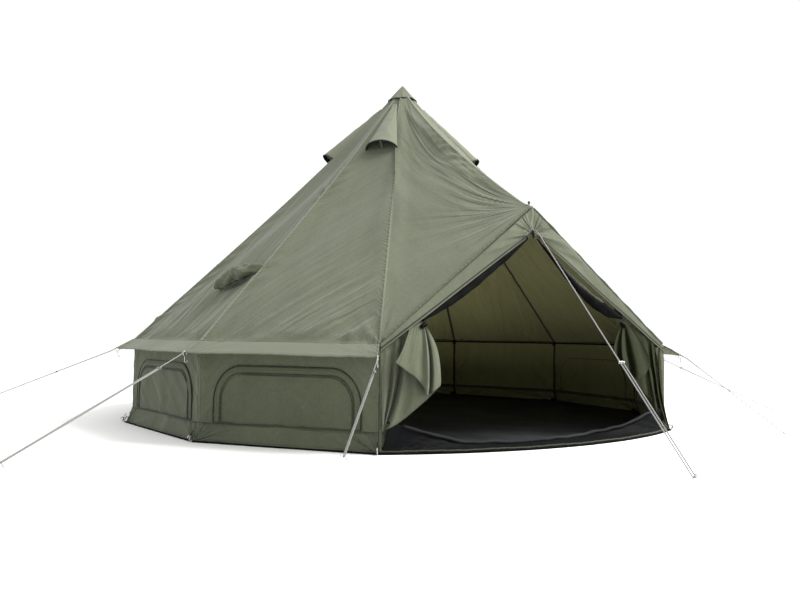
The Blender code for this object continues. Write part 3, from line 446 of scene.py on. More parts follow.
def metal(name, low, high, roughness, scale=70.0):
    """Zinc or bare metal with a fine grain and duller patches."""
    finish, tree, surface = new_finish(name)
    surface.inputs["Metallic"].default_value = 1.0
    patch = noise_of(tree, "Object", scale, 5)
    tint(tree, surface, between(tree, patch, 0.35, 0.65), low, high)
    fine = noise_of(tree, "Object", scale * 2.5, 3)
    dull = between(tree, fine, 0.3, 0.7, roughness - 0.08, roughness + 0.12)
    tree.links.new(dull, surface.inputs["Roughness"])
    relief(tree, surface, (noise_of(tree, "Object", scale * 8, 3), 0.0002, 0.5))
    return finish


def plastic(name, low, high, roughness=0.45, grain=260.0):
    finish, tree, surface = new_finish(name, roughness)
    tint(tree, surface, noise_of(tree, "Object", 18.0, 3), low, high)
    relief(tree, surface, (noise_of(tree, "Object", grain, 2), 0.0003, 0.4))
    return finish


def braid(name, low, high, pitch):
    """Braided cord: strands that cross on the cord's own map, with painted shade in the hollows between them.
    """
    finish, tree, surface = new_finish(name, 0.8)
    place = node_of(tree, "ShaderNodeSeparateXYZ")
    tree.links.new(node_of(tree, "ShaderNodeTexCoord").outputs["UV"], place.inputs[0])
    strands = []
    for hand in (1.0, -1.0):
        turn = sum_of(tree, "MULTIPLY_ADD", place.outputs["X"], hand * 1.2, place.outputs["Y"])
        strands.append(sum_of(tree, "SINE", sum_of(tree, "MULTIPLY", turn, 2 * math.pi / pitch)))
    cross = sum_of(tree, "MULTIPLY", *strands)
    tint(tree, surface, between(tree, cross, -0.6, 0.5), low, high)
    relief(tree, surface, (cross, 0.0007, 0.8))
    return finish


# Shared ways of making


def piece(made, slot, *stands_for, body=TENT):
    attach(made, body)
    if stands_for:
        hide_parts(*stands_for)
    return made


def waves(points, length, seed, count=7):
    """A soft, repeatable unevenness of about the given wavelength, from -1 to 1."""
    chance = np.random.default_rng(seed)
    total = np.zeros(len(points))
    for _ in range(count):
        heading = chance.normal(size=3)
        heading /= np.linalg.norm(heading)
        pitch = length * chance.uniform(0.7, 1.5)
        total += np.sin(points @ heading * 2 * math.pi / pitch + chance.uniform(0, 2 * math.pi))
    return total / count**0.5 / 1.4


def smooth_step(value, low, high):
    share = np.clip((value - low) / (high - low), 0, 1)
    return share * share * (3 - 2 * share)


def grid_of(shape, points, chart, **marks):
    """Points, map and marks for sewn, shaped by row and column; a single number fills its mark."""
    shaped = {key: np.full(shape, m) if np.ndim(m) == 0 else np.reshape(m, shape) for key, m in marks.items()}
    return np.array(points).reshape(*shape, 3), np.array(chart).reshape(*shape, 2), shaped


def store(mesh, **marks):
    """Keep numbers on a mesh's vertices, for its finish to read."""
    for key, values in marks.items():
        mesh.attributes.new(key, "FLOAT", "POINT").data.foreach_set("value", values.astype(np.float32))


def sewn(name, grids, *finishes):
    """Join grids of points into one sheet, welded where they meet.

    Each grid is (points, map, marks): points and map in metres by row and column, and
    marks a dict of named distances. It returns the object and each vertex's marks.
    """
    weld = 0.0003
    points = np.concatenate([g[0].reshape(-1, 3) for g in grids])
    chart = np.concatenate([g[1].reshape(-1, 2) for g in grids])
    marks = {key: np.concatenate([g[2][key].reshape(-1) for g in grids]) for key in grids[0][2]}
    cells = np.round(points / weld).astype(np.int64)
    _, first, index = np.unique(cells, axis=0, return_index=True, return_inverse=True)
    index = index.reshape(-1)
    quads, start = [], 0
    for grid, *_ in grids:
        rows, columns = grid.shape[:2]
        number = np.arange(rows * columns).reshape(rows, columns) + start
        a, b, c, d = number[:-1, :-1], number[:-1, 1:], number[1:, 1:], number[1:, :-1]
        quads.append(np.stack([a, d, c, b], -1).reshape(-1, 4))
        start += rows * columns
    faces, corners = [], []
    for quad in np.concatenate(quads):
        welded = index[quad]
        kept = [k for k in range(4) if welded[k] != welded[k - 1]]
        if len(kept) > 2 and len(set(welded[kept])) == len(kept):
            faces.append([int(welded[k]) for k in kept])
            corners.extend(int(quad[k]) for k in kept)
    mesh = bpy.data.meshes.new(name)
    mesh.from_pydata(points[first].tolist(), [], faces)
    layer = mesh.uv_layers.new(name="UVMap")
    layer.data.foreach_set("uv", chart[corners].astype(np.float32).reshape(-1))
    kept_marks = {key: values[first] for key, values in marks.items()}
    store(mesh, **kept_marks)
    for finish in finishes:
        mesh.materials.append(FINISH[finish])
    mesh.shade_smooth()
    made = bpy.data.objects.new(name, mesh)
    bpy.context.scene.collection.objects.link(made)
    return made, kept_marks


def places(made):
    found = np.zeros(len(made.data.vertices) * 3, np.float32)
    made.data.vertices.foreach_get("co", found)
    return found.reshape(-1, 3).astype(float)


def normals(made):
    found = np.zeros(len(made.data.vertices) * 3, np.float32)
    made.data.vertex_normals.foreach_get("vector", found)
    return found.reshape(-1, 3).astype(float)


def face(made, way):
    """Turn a sheet's faces to point the given way; returns its vertex normals."""
    out = normals(made)
    if (out * np.array(way)).sum() < 0:
        made.data.flip_normals()
        out = normals(made)
    return out


def put(made, points):
    made.data.vertices.foreach_set("co", points.astype(np.float32).reshape(-1))
    made.data.update()


def length_of(path):
    return sum((b - a).length for a, b in zip(path, path[1:]))


def rounded(before, middle, after, count):
    """A curve from one straight run into the next, past the corner between them."""
    return [before.lerp(middle, t).lerp(middle.lerp(after, t), t) for t in np.linspace(0, 1, count)]


def close_ends(made):
    """Fill a tube's open ends, and turn all its faces outwards."""
    work = bmesh.new()
    work.from_mesh(made.data)
    bmesh.ops.holes_fill(work, edges=[e for e in work.edges if e.is_boundary])
    bmesh.ops.recalc_face_normals(work, faces=work.faces)
    work.to_mesh(made.data)
    work.free()
    made.data.shade_smooth()


def alone(made):
    for other in bpy.context.scene.objects:
        other.select_set(False)
    made.select_set(True)
    bpy.context.view_layer.objects.active = made


def thicken(made, thickness=CLOTH, inner_slot=1, offset=-1.0):
    """Give a sheet its thickness, inwards, with its inner face's finish on the second slot."""
    step = made.modifiers.new("thickness", "SOLIDIFY")
    step.thickness = thickness
    step.offset = offset
    step.material_offset = inner_slot
    alone(made)
    bpy.ops.object.modifier_apply(modifier=step.name)


def tube(name, path, radii, finish, sides=10, flat=1.0):
    """A round or flattened tube along a path, with its own map in metres."""
    path = [Vector(p) for p in path]
    if not hasattr(radii, "__len__"):
        radii = [radii] * len(path)
    rings, chart, run = [], [], 0.0
    heading = (path[1] - path[0]).normalized()
    side = heading.cross(UP)
    if side.length < 0.1:
        side = heading.cross(Vector((1, 0, 0)))
    side.normalize()
    for k, point in enumerate(path):
        ahead = (path[min(k + 1, len(path) - 1)] - path[max(k - 1, 0)]).normalized()
        side = (side - ahead * side.dot(ahead)).normalized()
        up = side.cross(ahead)
        run += (point - path[k - 1]).length if k else 0.0
        turns = [2 * math.pi * t / sides for t in range(sides + 1)]
        rings.append([point + radii[k] * (side * math.cos(t) + up * math.sin(t) * flat) for t in turns])
        chart.append([(radii[k] * t, run) for t in turns])
    made, _ = sewn(name, [grid_of((len(path), sides + 1), rings, chart)], finish)
    close_ends(made)
    return made


def trim(name, path, radii, finish, slot, **shape):
    """A tube that is a piece of its own."""
    return piece(tube(name, path, radii, finish, **shape), slot)


def joined(name, parts):
    """Several pieces of one finish made one piece."""
    alone(parts[0])
    for part in parts[1:]:
        part.select_set(True)
    bpy.ops.object.join()
    parts[0].name = name
    parts[0].data.name = name
    return parts[0]


# Guy ropes


def guy_routes():
    """Each guy's route, from the canvas round its peg and back to its runner."""
    pegs = {
        "0": (2.76, -math.radians(3.9)),
        "1": (3.83, 0.0),
        "2": (4.0, 0.0),
        "8": (4.0, 0.0),
        "9": (3.35, 0.0),
    }
    shares = {"0": 0.12, "1": 0.14, "2": 0.30, "8": 0.24, "9": 0.45, "front": 0.62}
    slope = Vector((TIP_RADIUS - WALL_RADIUS, TIP_HEIGHT - EAVE_HEIGHT)).normalized()
    hold_height, eye_radius, turn_length, run_in = 0.034, 0.0098, 0.045, 0.0225
    routes = {}
    for name in GUYS:
        if name == "front":
            height = VISOR_MIDDLE + 0.012
            canvas_end, lead = Vector((0, door_depth(height), height)), DOOR_NORMAL
            reach, turn = 3.65, -math.pi / 2 - math.radians(5.9)
        else:
            index = int(name)
            lead = corner(index, 1, 0) * slope.x + Vector((0, 0, slope.y))
            canvas_end = corner(index, TIP_RADIUS, TIP_HEIGHT)
            reach, swing = pegs[name]
            turn = corner_angle(index) + swing
        hold = Vector((reach * math.cos(turn), reach * math.sin(turn), hold_height))
        start, turn_in = canvas_end + lead * 0.0003, canvas_end + lead * turn_length
        along = (hold - turn_in).normalized()
        across = along.cross(UP).normalized()
        eye = hold - across * eye_radius
        bend = rounded(turn_in - lead * run_in, turn_in, turn_in + along * run_in, 7)
        turns = np.linspace(0, math.pi, 11)
        loop = [eye + eye_radius * (across * math.cos(t) + along * math.sin(t)) for t in turns]
        length = (hold - turn_in).length
        back = eye - across * eye_radius - along * (length * (1 - shares[name]) + 0.012)
        runs = [bend[-1].lerp(loop[0], t) for t in (0.25, 0.5, 0.75)]
        home = [loop[-1].lerp(back, t) for t in (0.33, 0.66)]
        routes[name] = [start] + bend + runs + loop + home + [back]
    return routes


def string_guys():
    """Six taut ropes, each in place of its CAD node."""
    for name, route in guy_routes().items():
        rope = tube(f"guy_line_{name}", route, 0.004, "guy_rope")
        piece(rope, "guy_rope", f"guy_rope_{name}")


# Canopy


def roof_point(down):
    """Reach and height of a gore's middle, that far down the slope from the apex."""
    share = down / SLANT
    run, fall = WALL_RADIUS * NARROW, TENT_HEIGHT - EAVE_HEIGHT
    sag = ROOF_SAG * math.sin(math.pi * min(1, share) ** 0.75)
    return run * share - fall / SLANT * sag, TENT_HEIGHT - fall * share - run / SLANT * sag


def ridge_point(share):
    run = Vector((-PEAK.y, PEAK.z - TENT_HEIGHT))
    inward = Vector((run.y, -run.x)).normalized()
    sag = RIDGE_SAG * max(0.0, math.sin(math.pi * share)) ** 0.4
    place = Vector((0, TENT_HEIGHT)) + run * share + inward * sag
    return Vector((0, -place.x, place.y))


def gore_grid(index, slopes, columns):
    """A gore from its upper to its lower rows; slopes are distances down from the apex."""
    a_dir, b_dir = corner(index, 1, 0), corner(index + 1, 1, 0)
    points, chart, seam = [], [], []
    for down in slopes:
        if down <= SLANT:
            reach, height = roof_point(down)
        else:
            share = (down - SLANT) / FLAP
            reach = (WALL_RADIUS + (TIP_RADIUS - WALL_RADIUS) * share) * NARROW
            height = EAVE_HEIGHT + (TIP_HEIGHT - EAVE_HEIGHT) * share
        radius = reach / NARROW
        a, b = a_dir * radius, b_dir * radius
        wide = (b - a).length
        for share in columns:
            place = a.lerp(b, share)
            points.append((place.x, place.y, height))
            chart.append((wide * (share - 0.5) + index * MAP_STEP, down))
            seam.append(wide * min(share, 1 - share))
    down = np.repeat(np.array(slopes), len(columns))
    return grid_of(
        (len(slopes), len(columns)),
        points,
        chart,
        seam=seam,
        eave=down - SLANT,
        hem=SLANT + FLAP - down,
        porch=0.0,
        down=down,
        side=float(index),
        across=index * MAP_STEP - np.array(chart)[:, 0],
    )


def porch_grids(side, slopes, columns):
    """Half of the porch roof, and half of the visor that hangs from its fold."""
    index = 0 if side < 0 else SIDES
    points, chart, seam, low = [], [], [], []
    for down in slopes:
        reach, height = roof_point(down)
        edge, middle = corner(index, reach / NARROW, height), ridge_point(down / SLANT)
        wide = (edge - middle).length
        for share in columns:
            points.append(edge.lerp(middle, share))
            chart.append((side * wide * (1 - share) + 30.0, down))
            seam.append(wide * min(share, 1 - share))
            low.append(down)
    same = {"across": 0.0}
    panel = grid_of(
        (len(slopes), len(columns)),
        points,
        chart,
        seam=seam,
        eave=np.array(low) - SLANT,
        hem=1.0,
        porch=1.0,
        down=low,
        side=20.0 + side,
        **same,
    )
    steps = np.linspace(0, 1, 11)
    points, chart, seam, hem, eave = [], [], [], [], []
    edge = corner(index, WALL_RADIUS, EAVE_HEIGHT)
    for step in steps:
        for share in columns:
            top = edge.lerp(PEAK, share)
            height = top.z + (visor_hem(top.x) - top.z) * step
            points.append((top.x, door_depth(height), height))
            fall = top.z - height
            chart.append((side * abs(top.x) + 30.0, SLANT + fall))
            seam.append(abs(top.x))
            hem.append(height - visor_hem(top.x))
            eave.append(fall)
    visor = grid_of(
        (len(steps), len(columns)),
        points,
        chart,
        seam=seam,
        eave=eave,
        hem=hem,
        porch=2.0,
        down=SLANT,
        side=30.0 + side,
        **same,
    )
    if side > 0:
        return panel, visor
    return [(g[0][:, ::-1], g[1][:, ::-1], {k: m[:, ::-1] for k, m in g[2].items()}) for g in (panel, visor)]


def crowded(count, bias):
    """Shares from 0 to 1 that lie closer together near both ends."""
    step = np.linspace(0, 1, count)
    return step - bias * np.sin(2 * math.pi * step) / (2 * math.pi)


def fan(points, origin, up, across, folds, phase, reach, start=0.03):
    """Folds that radiate from a point under tension, strongest near it."""
    away = points - np.array(origin)
    x, y = away @ np.array(across), away @ np.array(up)
    span = np.linalg.norm(away, axis=1)
    turn = np.arctan2(x, y)
    strength = smooth_step(span, 0.0, start * 3) * np.exp(-span / reach)
    phase = phase + 0.55 * waves(points, 1.5, int(folds) + int(10 * phase))
    return pleat(folds * turn / 2 + phase, 0.12) * strength


def marks_of_pull(made, points, anchors, reach):
    """Store, for the finish, how hard each spot is pulled and its bearing from the anchor."""
    pull, turn = np.zeros(len(points)), np.zeros(len(points))
    for origin, up, across, weight in anchors:
        away = points - np.array(origin)
        span = np.linalg.norm(away, axis=1)
        bearing = np.arctan2(away @ np.array(across), away @ np.array(up))
        strength = weight * smooth_step(span, 0.0, 0.12) * np.exp(-span / reach)
        turn = np.where(strength > pull, bearing, turn)
        pull = np.maximum(pull, strength)
    store(made.data, pull=pull, turn=turn)


def pleat(phase, width=0.22):
    """Narrow ridges with soft hollows between them."""
    return np.exp(-np.sin(phase) ** 2 / width) - 0.45


def angle_at(points, origin, heading):
    """The angle at the origin between a heading and each point."""
    away = points - np.array(origin)
    away /= np.maximum(np.linalg.norm(away, axis=1), 1e-6)[:, None]
    return np.arccos(np.clip(away @ np.array(heading), -1, 1))


def fold_map(points, marks):
    """Where each spot lies across and along the folds, in metres, and how hard it is drawn.

    Folds run up most gores; beside the porch they rise towards it; on the porch they run
    from its peak, those near the ridge bending over to the apex; on the visor they run
    from the middle of its hem.
    """
    side, across, down, porch = (marks[key] for key in ("side", "across", "down", "porch"))
    high = SLANT - down
    flow, stream = across + 0.12 * np.sin(side * 2.3) * high, high
    strain = 0.8 * smooth_step(high, 2.9, 0.9)
    for index, mirror in ((0, 1), (SIDES - 1, -1)):
        here, x = np.abs(side - index) < 0.1, across * mirror
        flow = np.where(here & (down > 1.1), high - 1.24 * x + 0.36 * x * x, flow)
        stream = np.where(here, 0.7 * (x + high), stream)
        strain = np.where(here, np.exp(-((high / 1.5) ** 2)), strain)
    strain = strain + 0.7 * np.exp(-((down / 0.6) ** 2))
    ridge = (APEX - PEAK).normalized()
    near, far = angle_at(points, PEAK, ridge), angle_at(points, APEX, -ridge)
    span = np.linalg.norm(points - np.array(PEAK), axis=1)
    by_ridge = np.exp(-(((near + far) / 0.42) ** 2))
    drawn = (0.95 * np.exp(-span / 0.85) + 0.55 * by_ridge) * smooth_step(span, 0.04, 0.30)
    drawn += 0.5 * np.exp(-((np.linalg.norm(points - np.array(APEX), axis=1) / 0.7) ** 2))
    drawn *= np.where(points[:, 0] > 0, 0.35, 1.25)
    roof, visor = (porch > 0.5) & (porch < 1.5), porch > 1.5
    flow = np.where(roof, 0.9 * (near + far * (1 - smooth_step(near, 0.5, 1.1))), flow)
    stream, strain = np.where(roof, span, stream), np.where(roof, drawn, strain)
    middle = Vector((0, door_depth(VISOR_MIDDLE), VISOR_MIDDLE))
    span = np.linalg.norm(points - np.array(middle), axis=1)
    drawn = smooth_step(span, 0.01, 0.08) * (0.9 * np.exp(-span / 0.4) + 0.35)
    flow = np.where(visor, 0.45 * angle_at(points, middle, UP), flow)
    return flow, np.where(visor, span, stream), np.where(visor, drawn, strain)


def long_folds(flow, stream, side, pitch, length, seed):
    """Ridges of about the given pitch that run along the folds and die away."""
    spots = np.stack([flow / pitch, stream / length, side * 3.7], -1)
    return np.exp(-((waves(spots, 1.0, seed) / 0.35) ** 2)) - 0.45


def open_share(seam):
    return smooth_step(seam, 0.0, 0.12)


def porch_out(side):
    """The way that one half of the porch roof faces."""
    return Vector((side * 0.49, -0.53, 0.69))


def panel_seam(points):
    """How far each spot lies from the seam that runs from the peak up into the porch's panel."""
    seam_end_share = 0.24
    panel = np.zeros(len(points))
    for side in HANDS:
        high_end = APEX.lerp(door_corner(side), seam_end_share)
        over_it = (high_end - PEAK).cross(porch_out(side)).normalized()
        panel = np.where(points[:, 0] * side >= 0, (points - np.array(PEAK)) @ np.array(over_it), panel)
    return panel


def sew_canopy():
    """The flat sheets of the gores, eave flap, porch and visor, sewn together."""
    roof_rows = list(np.linspace(0.02, SLANT - 0.5, 76)) + list(np.linspace(SLANT - 0.5, SLANT, 25)[1:])
    flap_rows = list(np.linspace(SLANT, SLANT + FLAP, 11))
    grids = []
    for index in range(SIDES):
        columns = crowded(53 if index in (0, 1, 8) else 29, 0.72)
        grids += [gore_grid(index, rows, columns) for rows in (roof_rows, flap_rows)]
    for side in HANDS:
        grids.extend(porch_grids(side, roof_rows, crowded(43, 0.6)))
    # The sheet's inner face takes the roof's lighter, warmer inside colour: painted light for daylight
    # through the cloth.
    return sewn("canopy_cloth", grids, "roof_canvas", "roof_lining")


def canopy_folds(canopy, points, marks):
    """How far each spot of the canopy's cloth rises in waves, gathers and long folds."""
    seam, down, porch = marks["seam"], marks["down"], marks["porch"]
    rise = 0.0060 * waves(points, 0.8, 3) * open_share(seam)
    gather, beside = 1 - smooth_step(seam, 0.02, 0.17), smooth_step(seam, 0.0, 0.035)
    patchy = smooth_step(waves(points, 0.9, 51), -0.5, 0.8)
    tucks = pleat(math.pi * (down + 1.1 * seam) / 0.19 + 2.6 * waves(points, 0.7, 5))
    rise += 0.0105 * gather * beside * patchy * tucks
    above = np.exp(-np.clip(SLANT - down, 0, 4) / 0.24)
    sideways = np.arctan2(points[:, 1], points[:, 0]) * 2.5
    tucks = pleat(math.pi * sideways / 0.12 + 2.6 * waves(points, 0.5, 8))
    rise += 0.0045 * above * (porch < 0.5) * beside * tucks
    flow, stream, strain = fold_map(points, marks)
    patchy = 0.35 + 0.65 * smooth_step(waves(points, 1.3, 44), -0.6, 0.6)
    drawn = strain * patchy * np.where(porch > 1.5, 1.0, open_share(seam))
    drawn *= smooth_step(SLANT - down, 0.0, 0.13) * smooth_step(down, 0.20, 0.34) + (porch > 1.5)
    for depth, pitch, length, seed in ((0.0064, 0.36, 1.8, 41), (0.0032, 0.20, 1.2, 43)):
        rise += depth * drawn * long_folds(flow, stream, marks["side"], pitch, length, seed)
    store(canopy.data, flow=flow, stream=stream, strain=drawn, panel=panel_seam(points))
    return rise


def raise_canopy():
    """The whole roof with its eave flap, porch and visor, as one sheet."""
    canopy, marks = sew_canopy()
    points, out = places(canopy), face(canopy, UP)
    seam, down, porch = marks["seam"], marks["down"], marks["porch"]
    share, eave = np.clip(down / SLANT, 0, 1), np.abs(marks["eave"])
    porch_roof = (porch > 0.5) * (porch < 1.5)
    sag = -0.024 * smooth_step(seam, 0.0, 0.25) * np.sin(math.pi * share**0.85) * (porch < 1.5)
    strip = 0.0030 * (1 - smooth_step(seam, 0.009, 0.016))
    rise = canopy_folds(canopy, points, marks)
    anchors = []
    for index in range(SIDES + 1):
        tip, outward = corner(index, TIP_RADIUS, TIP_HEIGHT), corner(index, 1, 0)
        across = outward.cross(UP)
        up = Vector((-outward.x * 0.68, -outward.y * 0.68, 0.73))
        rise += 0.0105 * fan(points, tip, up, across, 19.0, index * 2.9, 0.30)
        anchors.append((tip, up, across, 1.0))
    for side in HANDS:
        fold = (door_corner(side) - PEAK).normalized()
        anchors.append((PEAK, fold, porch_out(side).cross(fold).normalized(), 1.3))
    flap = smooth_step(down, SLANT - 0.03, SLANT + 0.01) * (porch < 0.5)
    rise = FOLDS * rise * (1 - 0.72 * flap) + sag + strip
    rise *= 1 - 0.75 * np.exp(-((np.linalg.norm(points - np.array(PEAK), axis=1) / 0.16) ** 2))
    by_fold = (porch > 0.5) * np.exp(-((eave / 0.10) ** 4))
    rise = rise * (1 - by_fold) + np.maximum(rise, 0.006 + 0.25 * rise) * by_fold
    over = porch_roof * np.sin(math.pi * share)
    drift = 0.10 * over * np.exp(-((points[:, 0] / 0.4) ** 2))
    rise += 0.035 * over * np.exp(-(((points[:, 0] - 0.2) / 0.16) ** 2))
    rise = np.where(eave < 0.004, rise * 0.4 - 0.002, rise)
    marks_of_pull(canopy, points, anchors, 0.3)
    moved = points + out * rise[:, None]
    moved[:, 0] -= drift
    put(canopy, moved)
    thicken(canopy)
    piece(canopy, "roof_canvas", "roof_canopy", "porch_roof_left", "porch_roof_right")


# Wall and windows


def side_frame(index):
    """On a wall side's outer face: X to an onlooker's right, Y up, Z out."""
    a, b = corner(index, WALL_RADIUS, 0), corner(index + 1, WALL_RADIUS, 0)
    along = (a - b).normalized()
    made = Matrix((along, UP, along.cross(UP))).transposed().to_4x4()
    made.translation = (a + b) / 2
    return made


def wall_grid(index, heights, columns):
    """One side of the wall, with the skirt that flares out below its seam."""
    a_dir, b_dir = corner(index, 1, 0), corner(index + 1, 1, 0)
    points, chart, seam = [], [], []
    for height in heights:
        flare = max(0.0, (SKIRT_SEAM - height) / (SKIRT_SEAM - 0.0043))
        radius = WALL_RADIUS + (HEM_RADIUS - WALL_RADIUS) * min(1.0, flare)
        a, b = a_dir * radius, b_dir * radius
        wide = (b - a).length
        for share in columns:
            place = a.lerp(b, share)
            points.append((place.x, place.y, height))
            chart.append((wide * (0.5 - share) + index * MAP_STEP, height))
            seam.append(wide * min(share, 1 - share))
    high = np.repeat(np.array(heights), len(columns))
    across = np.tile(columns, len(heights)) - 0.5
    shape = (len(heights), len(columns))
    return grid_of(
        shape, points, chart, seam=seam, eave=high - SKIRT_SEAM, hem=high, across=across, side=float(index)
    )


def raise_wall():
    """The wall of nine sides and its skirt, hung from the eave's seam, as one sheet."""
    columns = crowded(61, 0.45)
    heights = list(np.linspace(EAVE_HEIGHT - 0.004, SKIRT_SEAM, 21))
    heights += list(np.linspace(SKIRT_SEAM, 0.006, 12)[1:])
    grids = [wall_grid(index, heights, columns) for index in range(SIDES)]
    # The inner face takes the wall's lighter, warmer inside colour: painted light for daylight through the
    # cloth.
    wall, marks = sewn("wall_cloth", grids, "wall_canvas", "wall_lining")
    points = places(wall)
    out = face(wall, points * (1, 1, 0))
    across, high, seam, side = marks["across"] * SIDE_WIDTH, marks["hem"], marks["seam"], marks["side"]
    window, zip_path = np.zeros(len(points)), np.zeros(len(points))
    for index in WINDOW_SIDES:
        here = np.abs(side - index) < 0.1
        window += here * (1 - smooth_step(np.abs(across), 0.50, 0.60))
        zip_path += here * np.exp(-(((np.abs(across) - WINDOW_HALF - 0.01) / 0.06) ** 4))
    zip_path *= smooth_step(high, 0.115, 0.14) * (1 - smooth_step(high, 0.32, 0.42))
    body = smooth_step(high, SKIRT_SEAM, 0.3) * (1 - smooth_step(high, 0.55, EAVE_HEIGHT))
    corners = np.exp(-((seam / 0.16) ** 2)) * smooth_step(seam, 0.0, 0.03)
    rise = 0.005 * body * corners * pleat(math.pi * (high + 0.9 * seam) / 0.16 + 2.2 * waves(points, 0.5, 29))
    slanting = pleat(math.pi * (0.8 * across + high) / 0.33 + 2.5 * waves(points, 0.8, 28))
    rise += 0.004 * body * (1 - 0.6 * window) * slanting
    slack = 0.5 + 0.5 * waves(points, 0.5, 21)
    rise += -0.007 * body * smooth_step(seam, 0.0, 0.2) * slack * (1 - 0.7 * window)
    hanging = np.sin(2 * math.pi * (across + 0.12 * high) / 0.17 + 2 * waves(points, 0.7, 23))
    rise += 0.0035 * body * hanging * (1 - 0.75 * window)
    hand, skirt = np.where(across > 0, 1.0, -1.0), high < SKIRT_SEAM
    flow = np.where(skirt, 0.30 * np.arctan2(high, seam), 0.75 * (across + hand * high))
    stream = np.where(skirt, seam, 0.7 * (high - hand * across))
    middle = smooth_step(seam, 0.0, 0.05) * (0.55 + 0.6 * np.exp(-seam / 0.3))
    middle = middle * smooth_step(np.abs(across), 0.04, 0.14)
    low_part = 1.1 * middle * smooth_step(SKIRT_SEAM - high, 0.0, 0.02)
    drawn = np.where(skirt, low_part, 0.55 * middle * smooth_step(high - SKIRT_SEAM, 0.0, 0.05))
    rise += 0.011 * drawn * long_folds(flow, stream, side + 0.4 * hand, 0.16, 1.2, 47)
    store(wall.data, flow=flow + 3 * hand, stream=stream + 5 * side, strain=drawn)
    anchors = []
    for index in range(SIDES + 1):
        ring, beside = corner(index, HEM_RADIUS, 0.0), corner(index, 1, 0).cross(UP)
        rise += 0.016 * fan(points, ring, UP, beside, 17.0, index * 2.1, 0.20)
        anchors.append((ring, UP, beside, 1.0))
    marks_of_pull(wall, points, anchors, 0.25)
    rise = np.where(np.abs(high - SKIRT_SEAM) < 0.002, rise * 0.3, rise)
    rise = rise * np.where(high > 0.60, 0.4, 1.0)
    rise += (np.minimum(rise, -0.002) - rise) * zip_path
    put(wall, points + out * rise[:, None])
    thicken(wall)
    piece(wall, "wall_canvas", "wall_left", "wall_back", "wall_right")


def arch(grow, steps=16):
    """The window's outline from one foot over the top to the other, in the side's frame."""
    half, rise = WINDOW_HALF + grow, WINDOW_RISE + grow
    bend = WINDOW_CORNER + max(grow, -0.05)
    points = [(half, WINDOW_SILL), (half, (WINDOW_SILL + WINDOW_SPRING) / 2)]
    for k in range(steps + 1):
        turn = math.pi / 2 * k / steps
        points.append((half - bend * (1 - math.cos(turn)), WINDOW_SPRING + rise * math.sin(turn)))
    points += [(0.25, WINDOW_SPRING + rise), (0.0, WINDOW_SPRING + rise)]
    return points + [(-x, y) for x, y in reversed(points[:-1])]


def arch_top(x):
    """Height of the window's arch at x from its middle."""
    beyond = max(0.0, (abs(x) - (WINDOW_HALF - WINDOW_CORNER)) / WINDOW_CORNER)
    return WINDOW_SPRING + WINDOW_RISE * (1 - beyond**2) ** 0.5


def window_cover(index):
    """The zipped cover: a panel of its own inside the zip's arch, with slack folds."""
    place = side_frame(index)
    rows, columns = 22, 60
    points, chart, seam, hem, flow = [], [], [], [], []
    for r in range(rows):
        rise = r / (rows - 1)
        for c in range(columns):
            x = (c / (columns - 1) - 0.5) * 2
            top = arch_top(x * WINDOW_HALF)
            y = WINDOW_SILL + (top - WINDOW_SILL) * rise
            edge = min((1 - abs(x)) * WINDOW_HALF, top - y)
            slack = min(1.0, edge / 0.08) * (0.6 + 0.4 * math.sin(7 * x + index))
            wave = 0.0035 * math.sin(11 * x + 5 * y + 1.3 * index)
            wave += 0.002 * math.sin(26 * x * (1 - rise) + 2 * index)
            fall = 0.004 * math.exp(-((y - WINDOW_SILL) / 0.05) ** 2) * math.sin(17 * x + index)
            ridge = 0.005 * math.exp(-(math.sin(5.2 * x * WINDOW_HALF + 7.5 * y + index) ** 2) / 0.05)
            ridge += 0.004 * math.exp(-(math.sin(6.1 * x * WINDOW_HALF - 8.5 * y + 2 * index) ** 2) / 0.04)
            z = 0.0022 + max(0.0, slack * (0.004 + wave + fall + ridge))
            points.append(place @ Vector((x * WINDOW_HALF, y, z)))
            chart.append((x * WINDOW_HALF, y))
            seam.append(abs(edge - 0.055) + 0.0095)
            hem.append(edge)
            flow.append(0.8 * x * WINDOW_HALF + (0.9 if index % 2 else -0.9) * y + index)
    strain = 0.28 * smooth_step(np.array(hem), 0.055, 0.09)
    marks = {"seam": seam, "eave": 1.0, "hem": hem, "flow": flow, "stream": 0.2, "strain": strain}
    grid = grid_of((rows, columns), points, chart, **marks)
    # Its inner face takes the wall's inside colour, painted light for daylight through the cloth.
    cover, _ = sewn(f"window_panel_{index}", [grid], "window_canvas", "wall_lining")
    face(cover, place.col[2].to_3d())
    thicken(cover, 0.0015)
    piece(cover, "window_canvas", f"window_cover_{index}")


def trim_windows():
    """The zip and the welts round each cover, the ones beside the doorway darker."""
    for index in WINDOW_SIDES:
        window_cover(index)
        place, near_door = side_frame(index), index in (0, SIDES - 1)
        line = [place @ Vector((x, y, 0.0045)) for x, y in arch(0.0)]
        radius, finish = (0.0050, "black_webbing") if near_door else (0.0038, "window_canvas")
        trim(f"window_piping_{index}", line, radius, finish, "black_plastic", sides=8, flat=0.8)
        parts = []
        for k, grow in enumerate((-0.050, -0.062)):
            line = [place @ Vector((x, y, 0.0085)) for x, y in arch(grow)]
            finish = "welt_canvas" if near_door and not k else "window_canvas"
            parts.append(tube(f"window_welt_{index}_{k}", line, 0.0026, finish, sides=6))
        line = [place @ Vector((x, WINDOW_SILL, 0.006)) for x in np.linspace(-WINDOW_HALF, WINDOW_HALF, 12)]
        parts.append(tube(f"window_sill_{index}", line, 0.0028, "window_canvas", sides=6, flat=0.7))
        piece(joined(f"window_welts_{index}", parts), "window_canvas")


# Groundsheet


